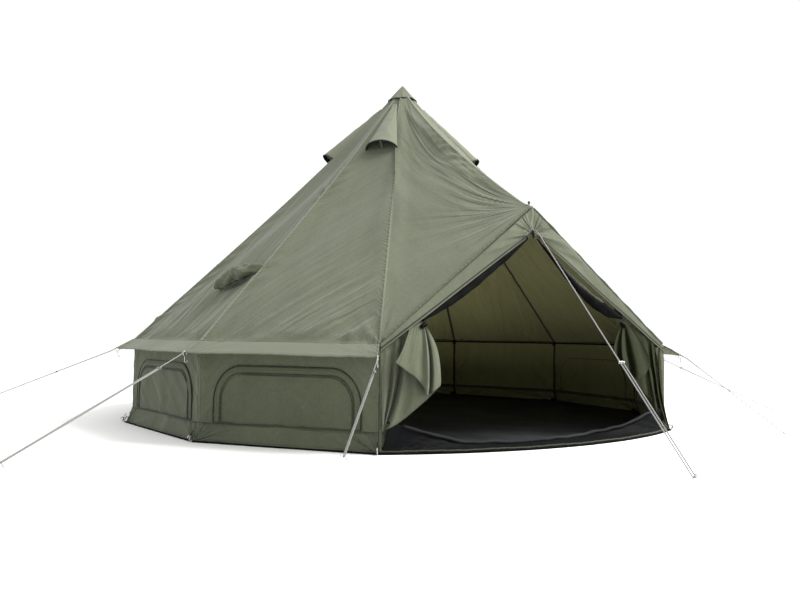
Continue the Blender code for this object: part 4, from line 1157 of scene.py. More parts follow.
def arc_through(a, middle, b, steps):
    """Points on the circle through three points, from a to b."""
    pa, pm, pb = (Vector(p).to_2d() for p in (a, middle, b))
    a2, m2, b2 = (p.length_squared for p in (pa, pm, pb))
    d = 2 * (pa.x * (pm.y - pb.y) + pm.x * (pb.y - pa.y) + pb.x * (pa.y - pm.y))
    ux = (a2 * (pm.y - pb.y) + m2 * (pb.y - pa.y) + b2 * (pa.y - pm.y)) / d
    uy = (a2 * (pb.x - pm.x) + m2 * (pa.x - pb.x) + b2 * (pm.x - pa.x)) / d
    centre = Vector((ux, uy))
    radius = (pa - centre).length
    first, mid, last = (math.atan2(p.y - centre.y, p.x - centre.x) for p in (pa, pm, pb))
    full = 2 * math.pi
    sweep = (last - first) % full
    if (mid - first) % full > sweep:
        sweep -= full
    turns = [first + sweep * t for t in np.linspace(0, 1, steps)]
    return [centre + radius * Vector((math.cos(t), math.sin(t))) for t in turns]


def lay_groundsheet():
    """The black floor with its curved front and its wrinkles."""
    corners = [corner(k, HEM_RADIUS, 0).to_2d() for k in range(SIDES + 1)]
    outline = []
    for a, b in zip(corners, corners[1:]):
        outline += [a.lerp(b, t) for t in np.linspace(0, 1, 25)[:-1]]
    outline += arc_through(corners[-1], FRONT_MIDDLE, corners[0], 61)[:-1]
    outline.append(outline[0])
    rim = np.array([tuple(p) for p in outline])
    flat = rim[None, :, :] * np.sqrt(np.linspace(0, 1, 60))[:, None, None]
    cells = flat.reshape(-1, 2)
    from_rim = np.min(np.linalg.norm(cells[:, None] - rim[None, ::2], axis=2), axis=1)
    points = np.concatenate([flat, np.zeros((*flat.shape[:2], 1))], -1)
    grid = grid_of(flat.shape[:2], points, flat, rim=from_rim)
    sheet, kept = sewn("floor_cloth", [grid], "groundsheet_fabric", "groundsheet_fabric")
    spots = places(sheet)
    wrinkle = np.abs(waves(spots, 0.55, 31)) * 0.004 + 0.002 * np.maximum(0, waves(spots, 0.2, 33))
    spots[:, 2] = 0.0045 + wrinkle * smooth_step(kept["rim"], 0.0, 0.15)
    put(sheet, spots)
    face(sheet, UP)
    thicken(sheet, 0.004)
    low = places(sheet)
    low[:, 2] = np.maximum(low[:, 2], 0.0)
    put(sheet, low)
    piece(sheet, "groundsheet_fabric", "groundsheet")


def raise_threshold():
    """The strip that rises from the front edge and is held up at both jambs, its lip turned in."""
    rows, columns, lip_row = 26, 160, 19
    ends = [corner(k, HEM_RADIUS - 0.01, 0) for k in (0, SIDES)]
    rim = arc_through(ends[0], (0, -2.355), ends[1], columns)
    points = []
    for row in range(rows):
        part = row / lip_row
        for k, front in enumerate(rim):
            x = -1.345 + 2.60 * (k / (columns - 1))
            height = np.interp(x, *zip(*THRESHOLD_HEIGHTS)) + 0.004 * math.sin(7 * x)
            height += 0.002 * math.sin(31 * x)
            top = Vector((x, -2.085 - 0.02 * math.cos(math.pi * x / 2.7), height))
            foot = Vector((front.x * 0.995, front.y, 0.016))
            if part <= 1:
                sink = 0.25 * (top.z - 0.02) * math.sin(math.pi * part) ** 2
                points.append(foot.lerp(top, part) - Vector((0, 0, sink)))
            else:
                turn = (part - 1) / 0.32 * math.pi
                back = 0.018 * (1 - math.cos(turn)) + 0.012 * (part - 1)
                points.append(top + Vector((0, back, 0.012 * math.sin(turn) - 0.030 * (part - 1))))
    flat = np.array(points)
    part = np.repeat(np.minimum(1, np.linspace(0, (rows - 1) / lip_row, rows)), columns)
    x = flat[:, 0]
    rays = np.arctan2(flat[:, 2] * 3 + 0.04, np.abs(np.abs(x) - 1.40) + 0.05)
    lift = 0.012 * pleat(9 * rays + 1.2 * waves(flat, 0.5, 121)) * smooth_step(np.abs(x), 0.25, 1.1)
    lift = lift + 0.007 * waves(flat, 0.22, 123)
    lift += 0.006 * pleat(math.pi * (x + 2.2 * part) / 0.35 + waves(flat, 0.5, 125))
    lift = lift * np.sin(math.pi * np.clip(part, 0, 0.93))
    flat = flat + np.array([0, -0.5, 0.85])[None] * lift[:, None]
    flat[:, 2] = np.maximum(flat[:, 2], 0.013)
    grid = grid_of((rows, columns), flat, flat[:, :2])
    strip, _ = sewn("threshold_strip", [grid], "threshold_fabric", "threshold_fabric")
    face(strip, (0, -1, 0))
    thicken(strip, 0.0025)
    piece(strip, "groundsheet_fabric")
    roll_hem(grid[0][lip_row])


def roll_hem(edge):
    """The threshold's rolled upper hem, thickest in the middle and resting on the floor."""
    lip, widths = [], []
    for spot in edge[::2]:
        x = spot[0]
        if -1.27 < x < 1.165:
            lip.append(Vector(spot) + Vector((0, -0.010, 0.008 + 0.003 * math.sin(9 * x) * math.sin(23 * x))))
    for k, spot in enumerate(lip):
        wide = 0.0085 + 0.0085 * math.sin(math.pi * k / (len(lip) - 1)) ** 0.6
        wide += 0.0020 * math.sin(0.9 * k) * math.sin(0.37 * k)
        spot.z = max(spot.z, 0.88 * wide + 0.005)
        widths.append(wide)
    trim("threshold_hem", lip, widths, "groundsheet_fabric", "groundsheet_fabric", sides=12, flat=0.85)


# Mixing the finishes


# Each canvas: its dark and light shades, its seams and its strips, in 0 to 255
CANVASES = {
    "roof_canvas": ((82, 87, 71), (96, 101, 84), (62, 66, 50), (124, 129, 112), {"zip_half": 0.007}),
    # The roof's inner face, lighter and warmer than its outside: painted light for daylight through the
    # cloth, its seams under black tape.
    "roof_lining": ((98, 99, 68), (113, 113, 82), (20, 20, 18), (20, 20, 18), {"lining": True}),
    "cap_canvas": ((90, 95, 79), (103, 108, 92), (62, 66, 50), (100, 105, 88), {}),
    "door_canvas": ((78, 82, 66), (92, 97, 79), (38, 41, 30), (86, 91, 74), {}),
    "wall_canvas": ((71, 76, 60), (85, 90, 72), (34, 36, 27), (90, 95, 77), {}),
    # The wall's inner face: painted light as for the roof, with the floor's black tub along its foot.
    "wall_lining": ((98, 99, 68), (114, 114, 82), (20, 20, 18), (20, 20, 18), {"lining": True, "tub": 0.020}),
    "window_canvas": ((66, 71, 55), (78, 83, 65), (30, 32, 24), (70, 74, 58), {}),
    # The door's canvas darker, with little gloss and no sheen: painted shade for the right door half and the
    # hoods' insides.
    "door_shade": ((35, 38, 25), (49, 53, 37), (18, 20, 13), (42, 45, 32), {"gloss": 0.08, "sheen": 0.0}),
}
# Each plain cloth: its dark and light shades, then what plain_cloth takes after them
CLOTHS = {
    "groundsheet_fabric": ((30, 31, 33), (46, 48, 50), 0.002, 0.75, 0.012, 6.0, 0.1),
    "threshold_fabric": ((6, 7, 8), (14, 15, 17), 0.002, 0.7, 0.030, 5.0, 0.07),
    "edge_tape": ((8, 8, 8), (18, 18, 18), 0.002, 0.85, 0.002, 20.0, 0.04),
    "black_webbing": ((24, 24, 23), (40, 40, 38), 0.0012, 0.8, 0.0006, 90.0),
    "insect_net": ((9, 9, 9), (20, 20, 20), 0.002, 0.9, 0.010, 14.0, 0.05),
    "welt_canvas": ((36, 39, 29), (52, 56, 42), 0.0012),
    # The stove jack's heat-proof patch in dark olive-grey: painted shade, for the shadow under the rolled
    # cover.
    "heat_proof_fabric": ((58, 60, 50), (74, 76, 64), 0.0018),
}


def mix_finishes():
    for name, (low, high, seam_shade, strip_shade, more) in CANVASES.items():
        FINISH[name] = canvas(name, *(linear(*tone) for tone in (low, high, seam_shade, strip_shade)), **more)
    for name, (low, high, *more) in CLOTHS.items():
        FINISH[name] = plain_cloth(name, linear(*low), linear(*high), *more)
    # The white cord in grey tones: painted shade, as a thin rope shows against the light.
    FINISH["guy_rope"] = braid("guy_rope", linear(80, 82, 80), linear(166, 167, 164), 0.014)
    zinc, runner = ((0.42, 0.43, 0.44, 1), (0.62, 0.63, 0.64, 1)), ((0.16, 0.16, 0.16, 1), (0.3, 0.3, 0.3, 1))
    FINISH["galvanised_steel"] = metal("galvanised_steel", *zinc, 0.38)
    FINISH["runner_metal"] = metal("runner_metal", *runner, 0.42)
    FINISH["black_plastic"] = plastic("black_plastic", linear(22, 22, 22), linear(38, 38, 38))
    FINISH["vent_batten"] = plastic("vent_batten", linear(64, 68, 49), linear(82, 86, 64), 0.6)


def dress_carried_nodes():
    """Better finishes for the CAD nodes that stay."""
    for row in frame["record"]["subparts"]:
        if row["material_slot"] in FINISH:
            for slot in NODES[row["node"]].material_slots:
                slot.material = FINISH[row["material_slot"]]


# Door


def spline(keys, count):
    """Rows of numbers joined smoothly: count values along the keys, with each row a key."""
    keys = np.array(keys, float)
    place = np.linspace(0, len(keys) - 1, count)
    k = np.minimum(place.astype(int), len(keys) - 2)
    t = (place - k)[:, None]
    before, first = keys[np.maximum(k - 1, 0)], keys[k]
    second, after = keys[k + 1], keys[np.minimum(k + 2, len(keys) - 1)]
    bend = 2 * before - 5 * first + 4 * second - after
    turn = 3 * first - before - 3 * second + after
    return 0.5 * (2 * first + (second - before) * t + bend * t**2 + turn * t**3)


def on_door(x, height, off):
    """A spot that the camera sees at x and height in the door's plane, that far in front of it."""
    across = x - off * (x - CAMERA_SPOT[0]) / DOOR_AWAY
    return Vector((across, door_depth(height), height)) + DOOR_NORMAL * off


# Each column of a door's cloth from the jamb, round the tied edge and back in front:
# top, middle and hem, each as x, height and how far it stands in front of the doorway.
DOOR_LEFT_KEYS = (
    ((-1.376, 0.668, 0.000), (-1.384, 0.401, 0.000), (-1.390, 0.150, 0.000)),
    ((-1.330, 0.690, 0.000), (-1.355, 0.420, 0.020), (-1.388, 0.151, 0.004)),
    ((-1.290, 0.708, 0.000), (-1.325, 0.430, -0.032), (-1.386, 0.152, 0.000)),
    ((-1.250, 0.730, 0.000), (-1.290, 0.450, 0.014), (-1.383, 0.154, 0.006)),
    ((-1.210, 0.750, -0.010), (-1.262, 0.455, -0.060), (-1.378, 0.156, -0.010)),
    ((-1.170, 0.772, 0.002), (-1.215, 0.470, 0.034), (-1.330, 0.172, 0.022)),
    ((-1.130, 0.793, 0.002), (-1.160, 0.500, 0.004), (-1.250, 0.207, 0.010)),
    ((-1.090, 0.813, 0.003), (-1.100, 0.540, 0.026), (-1.150, 0.268, 0.026)),
    ((-1.055, 0.832, 0.004), (-1.040, 0.590, 0.002), (-1.044, 0.338, 0.010)),
    ((-1.037, 0.842, 0.006), (-0.938, 0.660, 0.030), (-0.925, 0.430, 0.045)),
    ((-1.036, 0.843, 0.010), (-0.950, 0.648, 0.060), (-0.945, 0.410, 0.082)),
    ((-1.036, 0.843, 0.012), (-0.975, 0.632, 0.072), (-0.985, 0.390, 0.092)),
    ((-1.038, 0.842, 0.012), (-1.000, 0.622, 0.018), (-1.018, 0.376, 0.035)),
    ((-1.040, 0.841, 0.014), (-1.014, 0.620, 0.104), (-1.030, 0.374, 0.122)),
    ((-1.052, 0.834, 0.012), (-1.050, 0.632, 0.074), (-1.065, 0.430, 0.092)),
    ((-1.075, 0.820, 0.014), (-1.100, 0.652, 0.084), (-1.120, 0.487, 0.104)),
    ((-1.110, 0.800, 0.016), (-1.150, 0.670, 0.070), (-1.190, 0.530, 0.098)),
    ((-1.151, 0.782, 0.018), (-1.206, 0.685, 0.080), (-1.269, 0.584, 0.104)),
)
DOOR_RIGHT_KEYS = (
    ((1.378, 0.664, 0.000), (1.330, 0.325, 0.000), (1.388, 0.006, 0.000)),
    ((1.330, 0.686, 0.000), (1.312, 0.345, 0.024), (1.384, 0.010, 0.004)),
    ((1.290, 0.705, -0.004), (1.290, 0.370, -0.030), (1.376, 0.020, -0.004)),
    ((1.245, 0.726, 0.002), (1.262, 0.400, 0.022), (1.340, 0.055, 0.016)),
    ((1.200, 0.748, -0.004), (1.235, 0.430, -0.036), (1.290, 0.110, -0.010)),
    ((1.150, 0.770, 0.002), (1.195, 0.470, 0.024), (1.240, 0.170, 0.024)),
    ((1.090, 0.798, 0.003), (1.150, 0.515, -0.010), (1.177, 0.255, -0.006)),
    ((1.000, 0.840, 0.004), (1.070, 0.570, 0.018), (1.110, 0.320, 0.020)),
    ((0.925, 0.872, 0.006), (0.960, 0.630, 0.004), (1.000, 0.420, 0.010)),
    ((0.912, 0.878, 0.008), (0.820, 0.725, 0.026), (0.813, 0.598, 0.040)),
    ((0.910, 0.879, 0.012), (0.803, 0.715, 0.068), (0.830, 0.592, 0.088)),
    ((0.914, 0.877, 0.012), (0.850, 0.700, 0.020), (0.862, 0.565, 0.030)),
    ((0.918, 0.875, 0.013), (0.880, 0.684, 0.084), (0.905, 0.505, 0.106)),
    ((0.922, 0.873, 0.013), (0.915, 0.672, 0.066), (0.940, 0.492, 0.084)),
    ((0.930, 0.869, 0.013), (0.950, 0.662, 0.010), (0.975, 0.470, 0.024)),
    ((0.942, 0.862, 0.014), (1.000, 0.660, 0.080), (1.030, 0.440, 0.104)),
    ((0.955, 0.856, 0.014), (1.050, 0.668, 0.094), (1.085, 0.436, 0.112)),
    ((0.968, 0.850, 0.015), (1.108, 0.686, 0.060), (1.145, 0.486, 0.078)),
    ((0.980, 0.846, 0.016), (1.150, 0.707, 0.066), (1.199, 0.552, 0.084)),
)


def hang_door(name, keys, node):
    """Half of the door: gathered, turned back on itself and tied at the visor's hem."""
    rows, columns = 41, 141
    # The left half takes the door's canvas. The right half, cloth and hem, takes the darker copy: painted
    # shade, for the half hanging in the visor's shadow.
    finish = "door_canvas" if keys[0][0][0] < 0 else "door_shade"
    lines = np.array(keys)
    top, middle, hem = (spline(lines[:, k], columns) for k in range(3))
    tied = min(abs(keys[9][0][0]), abs(keys[10][0][0]))
    tuck = 0.15 + 0.85 * np.clip((np.abs(top[:, 0]) - tied) / 0.05, 0, 1)
    far = smooth_step(np.abs(top[:, 0]), 1.15, 1.3)
    top = top + np.stack([0 * tuck, (0.040 + 0.035 * far) * tuck, -0.016 * tuck - 0.004], -1)
    points, falls = [], np.linspace(0, 1, rows)
    for fall in falls:
        quick = 1 - (1 - fall) ** 1.25
        place = top * (1 - quick) * (1 - 2 * quick) + middle * 4 * quick * (1 - quick)
        place = place + hem * quick * (2 * quick - 1)
        points.extend(on_door(*p) for p in place)
    flat = np.array(points)
    fall = np.repeat(falls, columns)
    share = np.tile(np.linspace(0, 1, columns), rows)
    fine = 0.005 * np.sin(math.pi * fall) * pleat(math.pi * share * 13 + 2.6 * waves(flat, 0.5, 101))
    gather = pleat(math.pi * share * 31 + waves(flat, 0.3, 103))
    fine += 0.011 * np.exp(-fall / 0.2) * gather * smooth_step(fall, 0, 0.05) * (share > 0.4)
    fine += 0.007 * waves(flat, 0.2, 105) * fall + 0.004 * waves(flat, 0.09, 107) * smooth_step(fall, 0.5, 1)
    flat = flat + np.array(DOOR_NORMAL)[None] * (fine * smooth_step(share, 0.0, 0.06))[:, None]
    steps = np.linalg.norm(np.diff(flat[-columns:], axis=0), axis=1)
    along = np.concatenate([[0], np.cumsum(steps)])
    chart = np.stack([np.tile(along, rows), fall * 0.5], -1)
    edge = np.minimum((1 - fall) * 0.42, (1 - share) * along[-1])
    grid = grid_of((rows, columns), flat, chart, seam=0.5, eave=1.0, hem=edge)
    cloth, _ = sewn(name, [grid], finish, finish)
    thicken(cloth, 0.0018, 0, 0.0)
    piece(cloth, "door_canvas", node)
    trim(f"{name}_hem", grid[0][-1][::2], 0.0026, finish, "door_canvas", sides=8)


def tie_doors():
    """A black loop and its knot hold each half at the visor's hem."""
    bulges = (0.006, 0.013, 0.017, 0.014, 0.017, 0.018, 0.015, 0.011, 0.005)
    for side, x, height in ((-1, -1.037, 0.842), (1, 0.912, 0.877)):
        loop = []
        for t in np.linspace(0, 2 * math.pi, 21):
            reach = 0.030 * math.cos(t)
            spot = on_door(x, height + 0.004, 0.012) + Vector((reach * 0.8, 0, reach * -side * 0.55))
            loop.append(spot + DOOR_NORMAL * (0.022 * math.sin(t)))
        low, high = (on_door(x + way * 0.02, height - way * side * 0.0115, 0.018) for way in (-1, 1))
        ahead, spot = (high - low) * 0.75, on_door(x, height - 0.004, 0.020)
        line = [spot + ahead * t for t in np.linspace(-1, 1, len(bulges))]
        trim(f"door_knot_{HANDS[side]}", line, bulges, "edge_tape", "black_plastic", sides=14)
        loop[-1] = loop[0]
        trim(f"door_tie_{HANDS[side]}", loop, 0.0035, "black_webbing", "black_plastic", sides=8, flat=1.6)


def ridge_at(turn, width):
    return math.exp(-(math.sin(turn / 2) ** 2) / width)


def roll_nets():
    """The insect doors, rolled up along the back of the visor's hem."""
    left = (0.30, 0.55, 0.80, 0.95, 1.1, 1.05, 1.1, 1.15, 1.05, 0.95, 0.8, 0.5)
    right = (0.18, 0.26, 0.36, 0.50, 0.66, 0.82, 0.95, 1.05, 1.12, 1.1, 0.95, 0.6)
    steps, sides = 90, 30
    for side, reach, drop, shares in ((-1, 1.03, 0.02, left), (1, 0.925, 0.082, right)):
        points, chart = [], []
        for k in range(steps):
            part = k / (steps - 1)
            across = 0.05 + (reach - 0.05) * part
            radius = 0.040 * np.interp(part * 11, range(12), shares)
            height = visor_hem(across) - radius * 0.4 - drop * math.sin(math.pi * part)
            depth = door_depth(height) + 0.0033 + radius
            for t in np.linspace(0, 2 * math.pi, sides + 1):
                lump = 1 + 0.09 * math.sin(2 * t + 11 * part + side) + 0.07 * math.sin(3 * t - 23 * part)
                lump += 0.05 * math.sin(t + 47 * part)
                lump += 0.12 * ridge_at(t - 4 * part, 0.01)
                lump += 0.08 * ridge_at(t - 3 * part - 2, 0.006)
                wide = radius * lump * 0.93
                points.append((side * across, depth + wide * math.cos(t), height + wide * math.sin(t)))
                chart.append((radius * t, part))
        roll, _ = sewn(f"net_roll_{HANDS[side]}", [grid_of((steps, sides + 1), points, chart)], "insect_net")
        close_ends(roll)
        piece(roll, "insect_net", f"mesh_roll_{HANDS[side]}")


def gather_door_top():
    """The right door's upper edge, gathered between the visor's hem and the rolled net."""
    line, radii = [], []
    for part in np.linspace(0, 1, 70):
        across = 0.10 + 0.82 * part
        height = visor_hem(across) - 0.004 - 0.055 * math.sin(math.pi * part)
        line.append((across, door_depth(height) + 0.030, height + 0.003 * math.sin(37 * part)))
        radii.append(0.006 + 0.014 * math.sin(math.pi * part) ** 0.7 * (1 + 0.2 * math.sin(29 * part)))
    trim("door_top_right", line, radii, "door_canvas", "door_canvas", sides=14)


# Vents, rolled cover and cap


def roof_frame(gore, down):
    """On a gore's middle: X to the next corner, Y down the slope, Z out."""
    a, b = corner(gore, 1, 0), corner(gore + 1, 1, 0)
    across = (b - a).normalized()
    out = ((a + b) / 2).normalized()
    spots = [roof_point(down + step) for step in (-0.02, 0.02)]
    first, second = (out * reach + Vector((0, 0, height)) for reach, height in spots)
    fall = (second - first).normalized()
    made = Matrix((across, fall, across.cross(fall))).transposed().to_4x4()
    made.translation = (first + second) / 2
    return made


def hood_spot(gore, share, turn, flat):
    """A spot on a hood, a share of the way down it and that far round from one foot to the other."""
    place = roof_frame(gore, HOOD_TOP + HOOD_LENGTH * share)
    wide, high = HOOD_NARROW + HOOD_SPREAD * share, (0.018 + 0.087 * share) * flat
    tuck = 0.022 * (1 - math.sin(turn)) ** 3
    crown = 1 + 0.05 * math.sin(turn) ** 2 * math.sin(math.pi * share)
    across = -HOOD_LEAN * share + wide * math.cos(turn)
    return place @ Vector((across, 0.012 * math.sin(turn) * share**3, high * math.sin(turn) * crown - tuck))


def raise_hood(gore):
    """One vent hood, propped open, with the black piping round its mouth."""
    flat = 0.85 if gore == VENT_GORES[-1] else 1.0
    rows, columns = 34, 37
    shares, turns = np.linspace(-0.02, 1, rows), np.linspace(0, math.pi, columns)
    spots = np.array([hood_spot(gore, max(0.0, s), t, flat) for s in shares for t in turns])
    out = np.array(roof_frame(gore, 0.7).col[2].to_3d())
    s, t = np.repeat(shares, columns), np.tile(turns, rows)
    folds = 0.0045 * pleat(3.2 * t + gore + 1.2 * waves(spots, 0.3, 111)) * np.sin(t)
    folds = folds * (1 - smooth_step(s, 0.75, 1.0)) + 0.0025 * waves(spots, 0.12, 113) * np.sin(t)
    points = spots + out[None] * folds[:, None]
    wide = np.linspace(0.03, 0.155, rows)[:, None] * (turns[None] - math.pi / 2) * 1.1
    chart = np.stack([wide, (s * HOOD_LENGTH).reshape(rows, columns)], -1)
    seam = np.minimum(t, math.pi - t) * 0.13 + 0.03
    grid = grid_of((rows, columns), points, chart, seam=seam, eave=1.0, hem=(1 - s) * HOOD_LENGTH + 0.006)
    # Its inside takes the darker door canvas: painted shade in the hood's mouth.
    hood, _ = sewn(f"vent_hood_cloth_{gore}", [grid], "roof_canvas", "door_shade")
    face(hood, out)
    thicken(hood, 0.0022)
    piece(hood, "roof_canvas", f"vent_hood_{gore}")
    trim(f"vent_piping_{gore}", grid[0][-1], 0.0055, "black_webbing", "black_plastic")


def raise_net(gore):
    """The insect net behind the hood's mouth: a near-black sheet on the uncut canopy, the net itself and
    painted shade inside the mouth.
    """
    points = []
    for y in np.linspace(0.62, 1.03, 12):
        place, share = roof_frame(gore, y), (y - HOOD_TOP) / HOOD_LENGTH
        half = HOOD_NARROW + HOOD_SPREAD * share - 0.012
        for x in np.linspace(-1, 1, 16):
            sink = -0.010 + 0.003 * math.cos(7 * x)
            points.append(place @ Vector((-HOOD_LEAN * share + half * x, 0, sink)))
    points = np.array(points)
    net, _ = sewn(f"vent_net_{gore}", [grid_of((12, 16), points, points[:, :2])], "insect_net", "insect_net")
    face(net, roof_frame(gore, 0.7).col[2].to_3d())
    thicken(net, 0.0012)
    piece(net, "insect_net")


def raise_vents():
    for gore in VENT_GORES:
        raise_hood(gore)
        raise_net(gore)


def roll_stove_cover():
    """The stove opening's cover: a loose lumpy roll with a tucked end and a pinched tail."""
    turned = Matrix.Rotation(math.radians(24.0), 4, "Z")
    place = roof_frame(1, 2.50) @ Matrix.Translation((-0.30, 0.26, 0)) @ turned
    radii = (0.62, 0.82, 0.80, 0.92, 1.0, 1.12, 1.22, 1.10, 0.86, 0.55, 0.22)
    leans = (0.35, 0.20, 0.10, 0.0, -0.10, -0.05, 0.15, 0.20, 0.05, -0.20, -0.45)
    steps, sides, tucked, thickness = 72, 40, 4, 0.047
    points, chart = [], []
    for k in range(-tucked, steps):
        part = max(0.0, k / (steps - 1))
        along = 0.25 + 0.010 * k if k < 0 else 0.25 - 0.5 * part
        radius = thickness * np.interp(part * 10, range(11), radii)
        if k < 0:
            radius = radius * (1 + 0.16 * k / tucked) * 0.80
        lean = thickness * np.interp(part * 10, range(11), leans)
        pinch = 1 - 0.22 * math.exp(-(((part - 0.42) / 0.03) ** 2))
        pinch -= 0.20 * math.exp(-(((part - 0.80) / 0.035) ** 2))
        for t in np.linspace(0, 2 * math.pi, sides + 1):
            lump = 1 + 0.15 * math.sin(2 * t + 11 * part) + 0.12 * math.sin(3 * t - 19 * part + 1)
            lump += 0.05 * math.sin(4 * t + 33 * part)
            lump += 0.16 * math.exp(-(math.sin(1.5 * t + 8 * part) ** 2) / 0.10) - 0.08
            lump += 0.30 * ridge_at(t - 5.5 * part - 0.6, 0.03) - 0.10 * ridge_at(t - 5.5 * part - 1.2, 0.02)
            wide = radius * lump * pinch
            high = radius + wide * math.sin(t) * 1.05
            points.append(place @ Vector((along, lean + wide * math.cos(t), max(-0.012, high - 0.008))))
            chart.append((radius * t, along))
    grid = grid_of((steps + tucked, sides + 1), points, chart, seam=0.5, eave=1.0, hem=0.5)
    roll, _ = sewn("stove_cover_roll", [grid], "door_canvas")
    close_ends(roll)
    piece(roll, "roof_canvas", "stove_jack_cover")


def cap_apex():
    """The small reinforcing cap over the apex, gathered a little at its stitched edge."""
    reach, height = roof_point(0.3)
    edges = [corner(k, reach / NARROW, height) - APEX for k in range(SIDES + 1)]
    edges.append(ridge_point(0.3 / SLANT) - APEX)
    ring = [edge * (0.172 / -edge.z) for edge in edges]
    ring.append(ring[0])
    rows, parts = 22, 12
    shares = np.linspace(0, 1, rows)
    points, chart, seam = [], [], []
    for share in shares:
        for number, (a, b) in enumerate(zip(ring, ring[1:])):
            for step in range(parts + (number == len(ring) - 2)):
                t = step / parts
                spot = a.lerp(b, t)
                wave = 0.003 * share * math.sin(2 * math.pi * t * 2 + number)
                lift = 0.0085 + 0.3 * wave
                out = Vector((spot.x, spot.y, 0.35)).normalized() * lift * share**0.5
                low = APEX + spot * share * (1 + 0.012 * math.sin(3.1 * number + 6 * t))
                points.append(low + out + Vector((0, 0, 0.004)))
                chart.append(((number + t) * 0.09 * share, share * 0.24))
                seam.append((b - a).length * min(t, 1 - t) * share + 0.004)
    columns = len(points) // rows
    hem = np.repeat((1 - shares) * 0.24, columns) + 0.010
    grid = grid_of((rows, columns), points, chart, seam=seam, eave=1.0, hem=hem)
    # Its inner face takes the roof's inside colour, painted light for daylight through the cloth.
    cap, _ = sewn("apex_cap_cloth", [grid], "cap_canvas", "roof_lining")
    face(cap, UP)
    thicken(cap, 0.002)
    piece(cap, "cap_canvas", "apex_cap")
    trim("apex_cap_binding", grid[0][-1], 0.0045, "welt_canvas", "cap_canvas", sides=8)


# Trims


def finish_front():
    """The floor's bound edge and olive band along its curved front, and the skirt's bound edge."""
    line = arc_through(corner(SIDES, HEM_RADIUS, 0), FRONT_MIDDLE, corner(0, HEM_RADIUS, 0), 121)
    wavy = [0.0015 * math.sin(0.31 * k) + 0.001 * math.sin(1.3 * k) for k in range(len(line))]
    edge = [(p.x, p.y, 0.0085 + w) for p, w in zip(line, wavy)]
    trim("front_edge", edge, 0.0070, "edge_tape", "groundsheet_fabric")
    inward = [p * (1 - 0.014 / p.length) for p in line]
    band = [(p.x, p.y, 0.018 + w) for p, w in zip(inward, wavy)]
    trim("front_band", band, 0.0090, "wall_canvas", "wall_canvas", flat=0.7)
    ends = [corner(k, HEM_RADIUS + 0.002, 0.006) for k in range(SIDES + 1)]
    rim = []
    for k, (a, b) in enumerate(zip(ends, ends[1:])):
        for t in np.linspace(0, 1, 13)[:-1]:
            rim.append(a.lerp(b, t) + Vector((0, 0, 0.001 * math.sin(9 * t + k))))
    trim("skirt_edge", rim + [ends[-1]], 0.0058, "edge_tape", "groundsheet_fabric", sides=8)


def pipe_fold():
    """The piped seam where each half of the porch roof turns down into the visor."""
    for side, lift in ((-1, 0.009), (1, 0.001)):
        line = []
        for t in np.linspace(0.012, 0.985, 90):
            wave = 0.004 * math.sin(31 * t) + 0.003 * math.sin(67 * t + 1)
            spot = door_corner(side).lerp(PEAK, t) + DOOR_NORMAL * (lift + wave * 0.4)
            line.append(spot + Vector((0, 0, lift + wave * 0.3)))
        trim(f"fold_piping_{HANDS[side]}", line, 0.0075, "roof_canvas", "roof_canvas", sides=12)


def hang_tab():
    """The black tab that is folded over the visor's hem in its middle."""
    wide = 0.020
    profile = (
        (0.028, 0.006), (0.012, 0.012), (-0.006, 0.014), (-0.020, 0.010),
        (-0.024, 0.0), (-0.018, -0.008), (0.0, -0.010),
    )
    path = [on_door(0.0, VISOR_MIDDLE + z, off) for z, off in profile]
    points = []
    for k, point in enumerate(path):
        ahead = (path[min(k + 1, len(path) - 1)] - path[max(k - 1, 0)]).normalized()
        side = ahead.cross(DOOR_NORMAL).normalized()
        points += [point + side * wide * x for x in (-0.5, -0.25, 0.0, 0.25, 0.5)]
    run = np.repeat(np.linspace(0, 1, len(path)) * length_of(path), 5)
    chart = np.stack([np.tile(np.linspace(0, wide, 5), len(path)), run], -1)
    tab, _ = sewn("peak_tab", [grid_of((len(path), 5), points, chart)], "edge_tape", "edge_tape")
    thicken(tab, 0.0016, 0, 0.0)
    piece(tab, "black_plastic")


def trim_peak():
    """The short cord between the peak and the visor's middle."""
    top = PEAK + DOOR_NORMAL * 0.016 + Vector((0, 0, 0.004))
    low = on_door(0.0, VISOR_MIDDLE + 0.12, 0.006)
    route = [top.lerp(low, t) + DOOR_NORMAL * 0.004 * math.sin(math.pi * t) for t in np.linspace(0, 1, 16)]
    cord = trim("peak_cord", route, 0.0025, "guy_rope", "guy_rope", sides=8)


def steel_ring(name, radius, stretch, thick=0.0028):
    """A drawn-out steel ring in the XZ plane, its long way down."""
    bpy.ops.object.select_all(action="DESELECT")
    bpy.ops.mesh.primitive_torus_add(
        major_segments=40, minor_segments=12, major_radius=radius, minor_radius=thick, location=(0, 0, 0)
    )
    ring = bpy.context.object
    ring.name = name
    bpy.ops.object.mode_set(mode="EDIT")
    bpy.ops.mesh.select_all(action="DESELECT")
    work = bmesh.from_edit_mesh(ring.data)
    for vert in work.verts:
        vert.select = vert.co.y < -1e-5
    work.select_flush_mode()
    bmesh.update_edit_mesh(ring.data)
    bpy.ops.transform.translate(value=(0, -stretch, 0))
    bpy.ops.mesh.select_all(action="SELECT")
    bpy.ops.transform.rotate(value=math.pi / 2, orient_axis="X", center_override=(0, 0, 0))
    bpy.ops.mesh.normals_make_consistent(inside=False)
    bpy.ops.object.mode_set(mode="OBJECT")
    bpy.ops.object.shade_smooth()
    ring.data.name = name
    ring.data.materials.clear()
    ring.data.materials.append(FINISH["galvanised_steel"])
    return ring


def copy_of(master, name, place):
    made = bpy.data.objects.new(name, master.data.copy())
    made.data.name = name
    made.data.transform(place)
    bpy.context.scene.collection.objects.link(made)
    return made


def frame_at(spot, out, down):
    """X across, Y out and -Z along the way the ring hangs."""
    up = -Vector(down).normalized()
    across = Vector(out).cross(up).normalized()
    made = Matrix((across, up.cross(across), up)).transposed().to_4x4()
    made.translation = spot
    return made


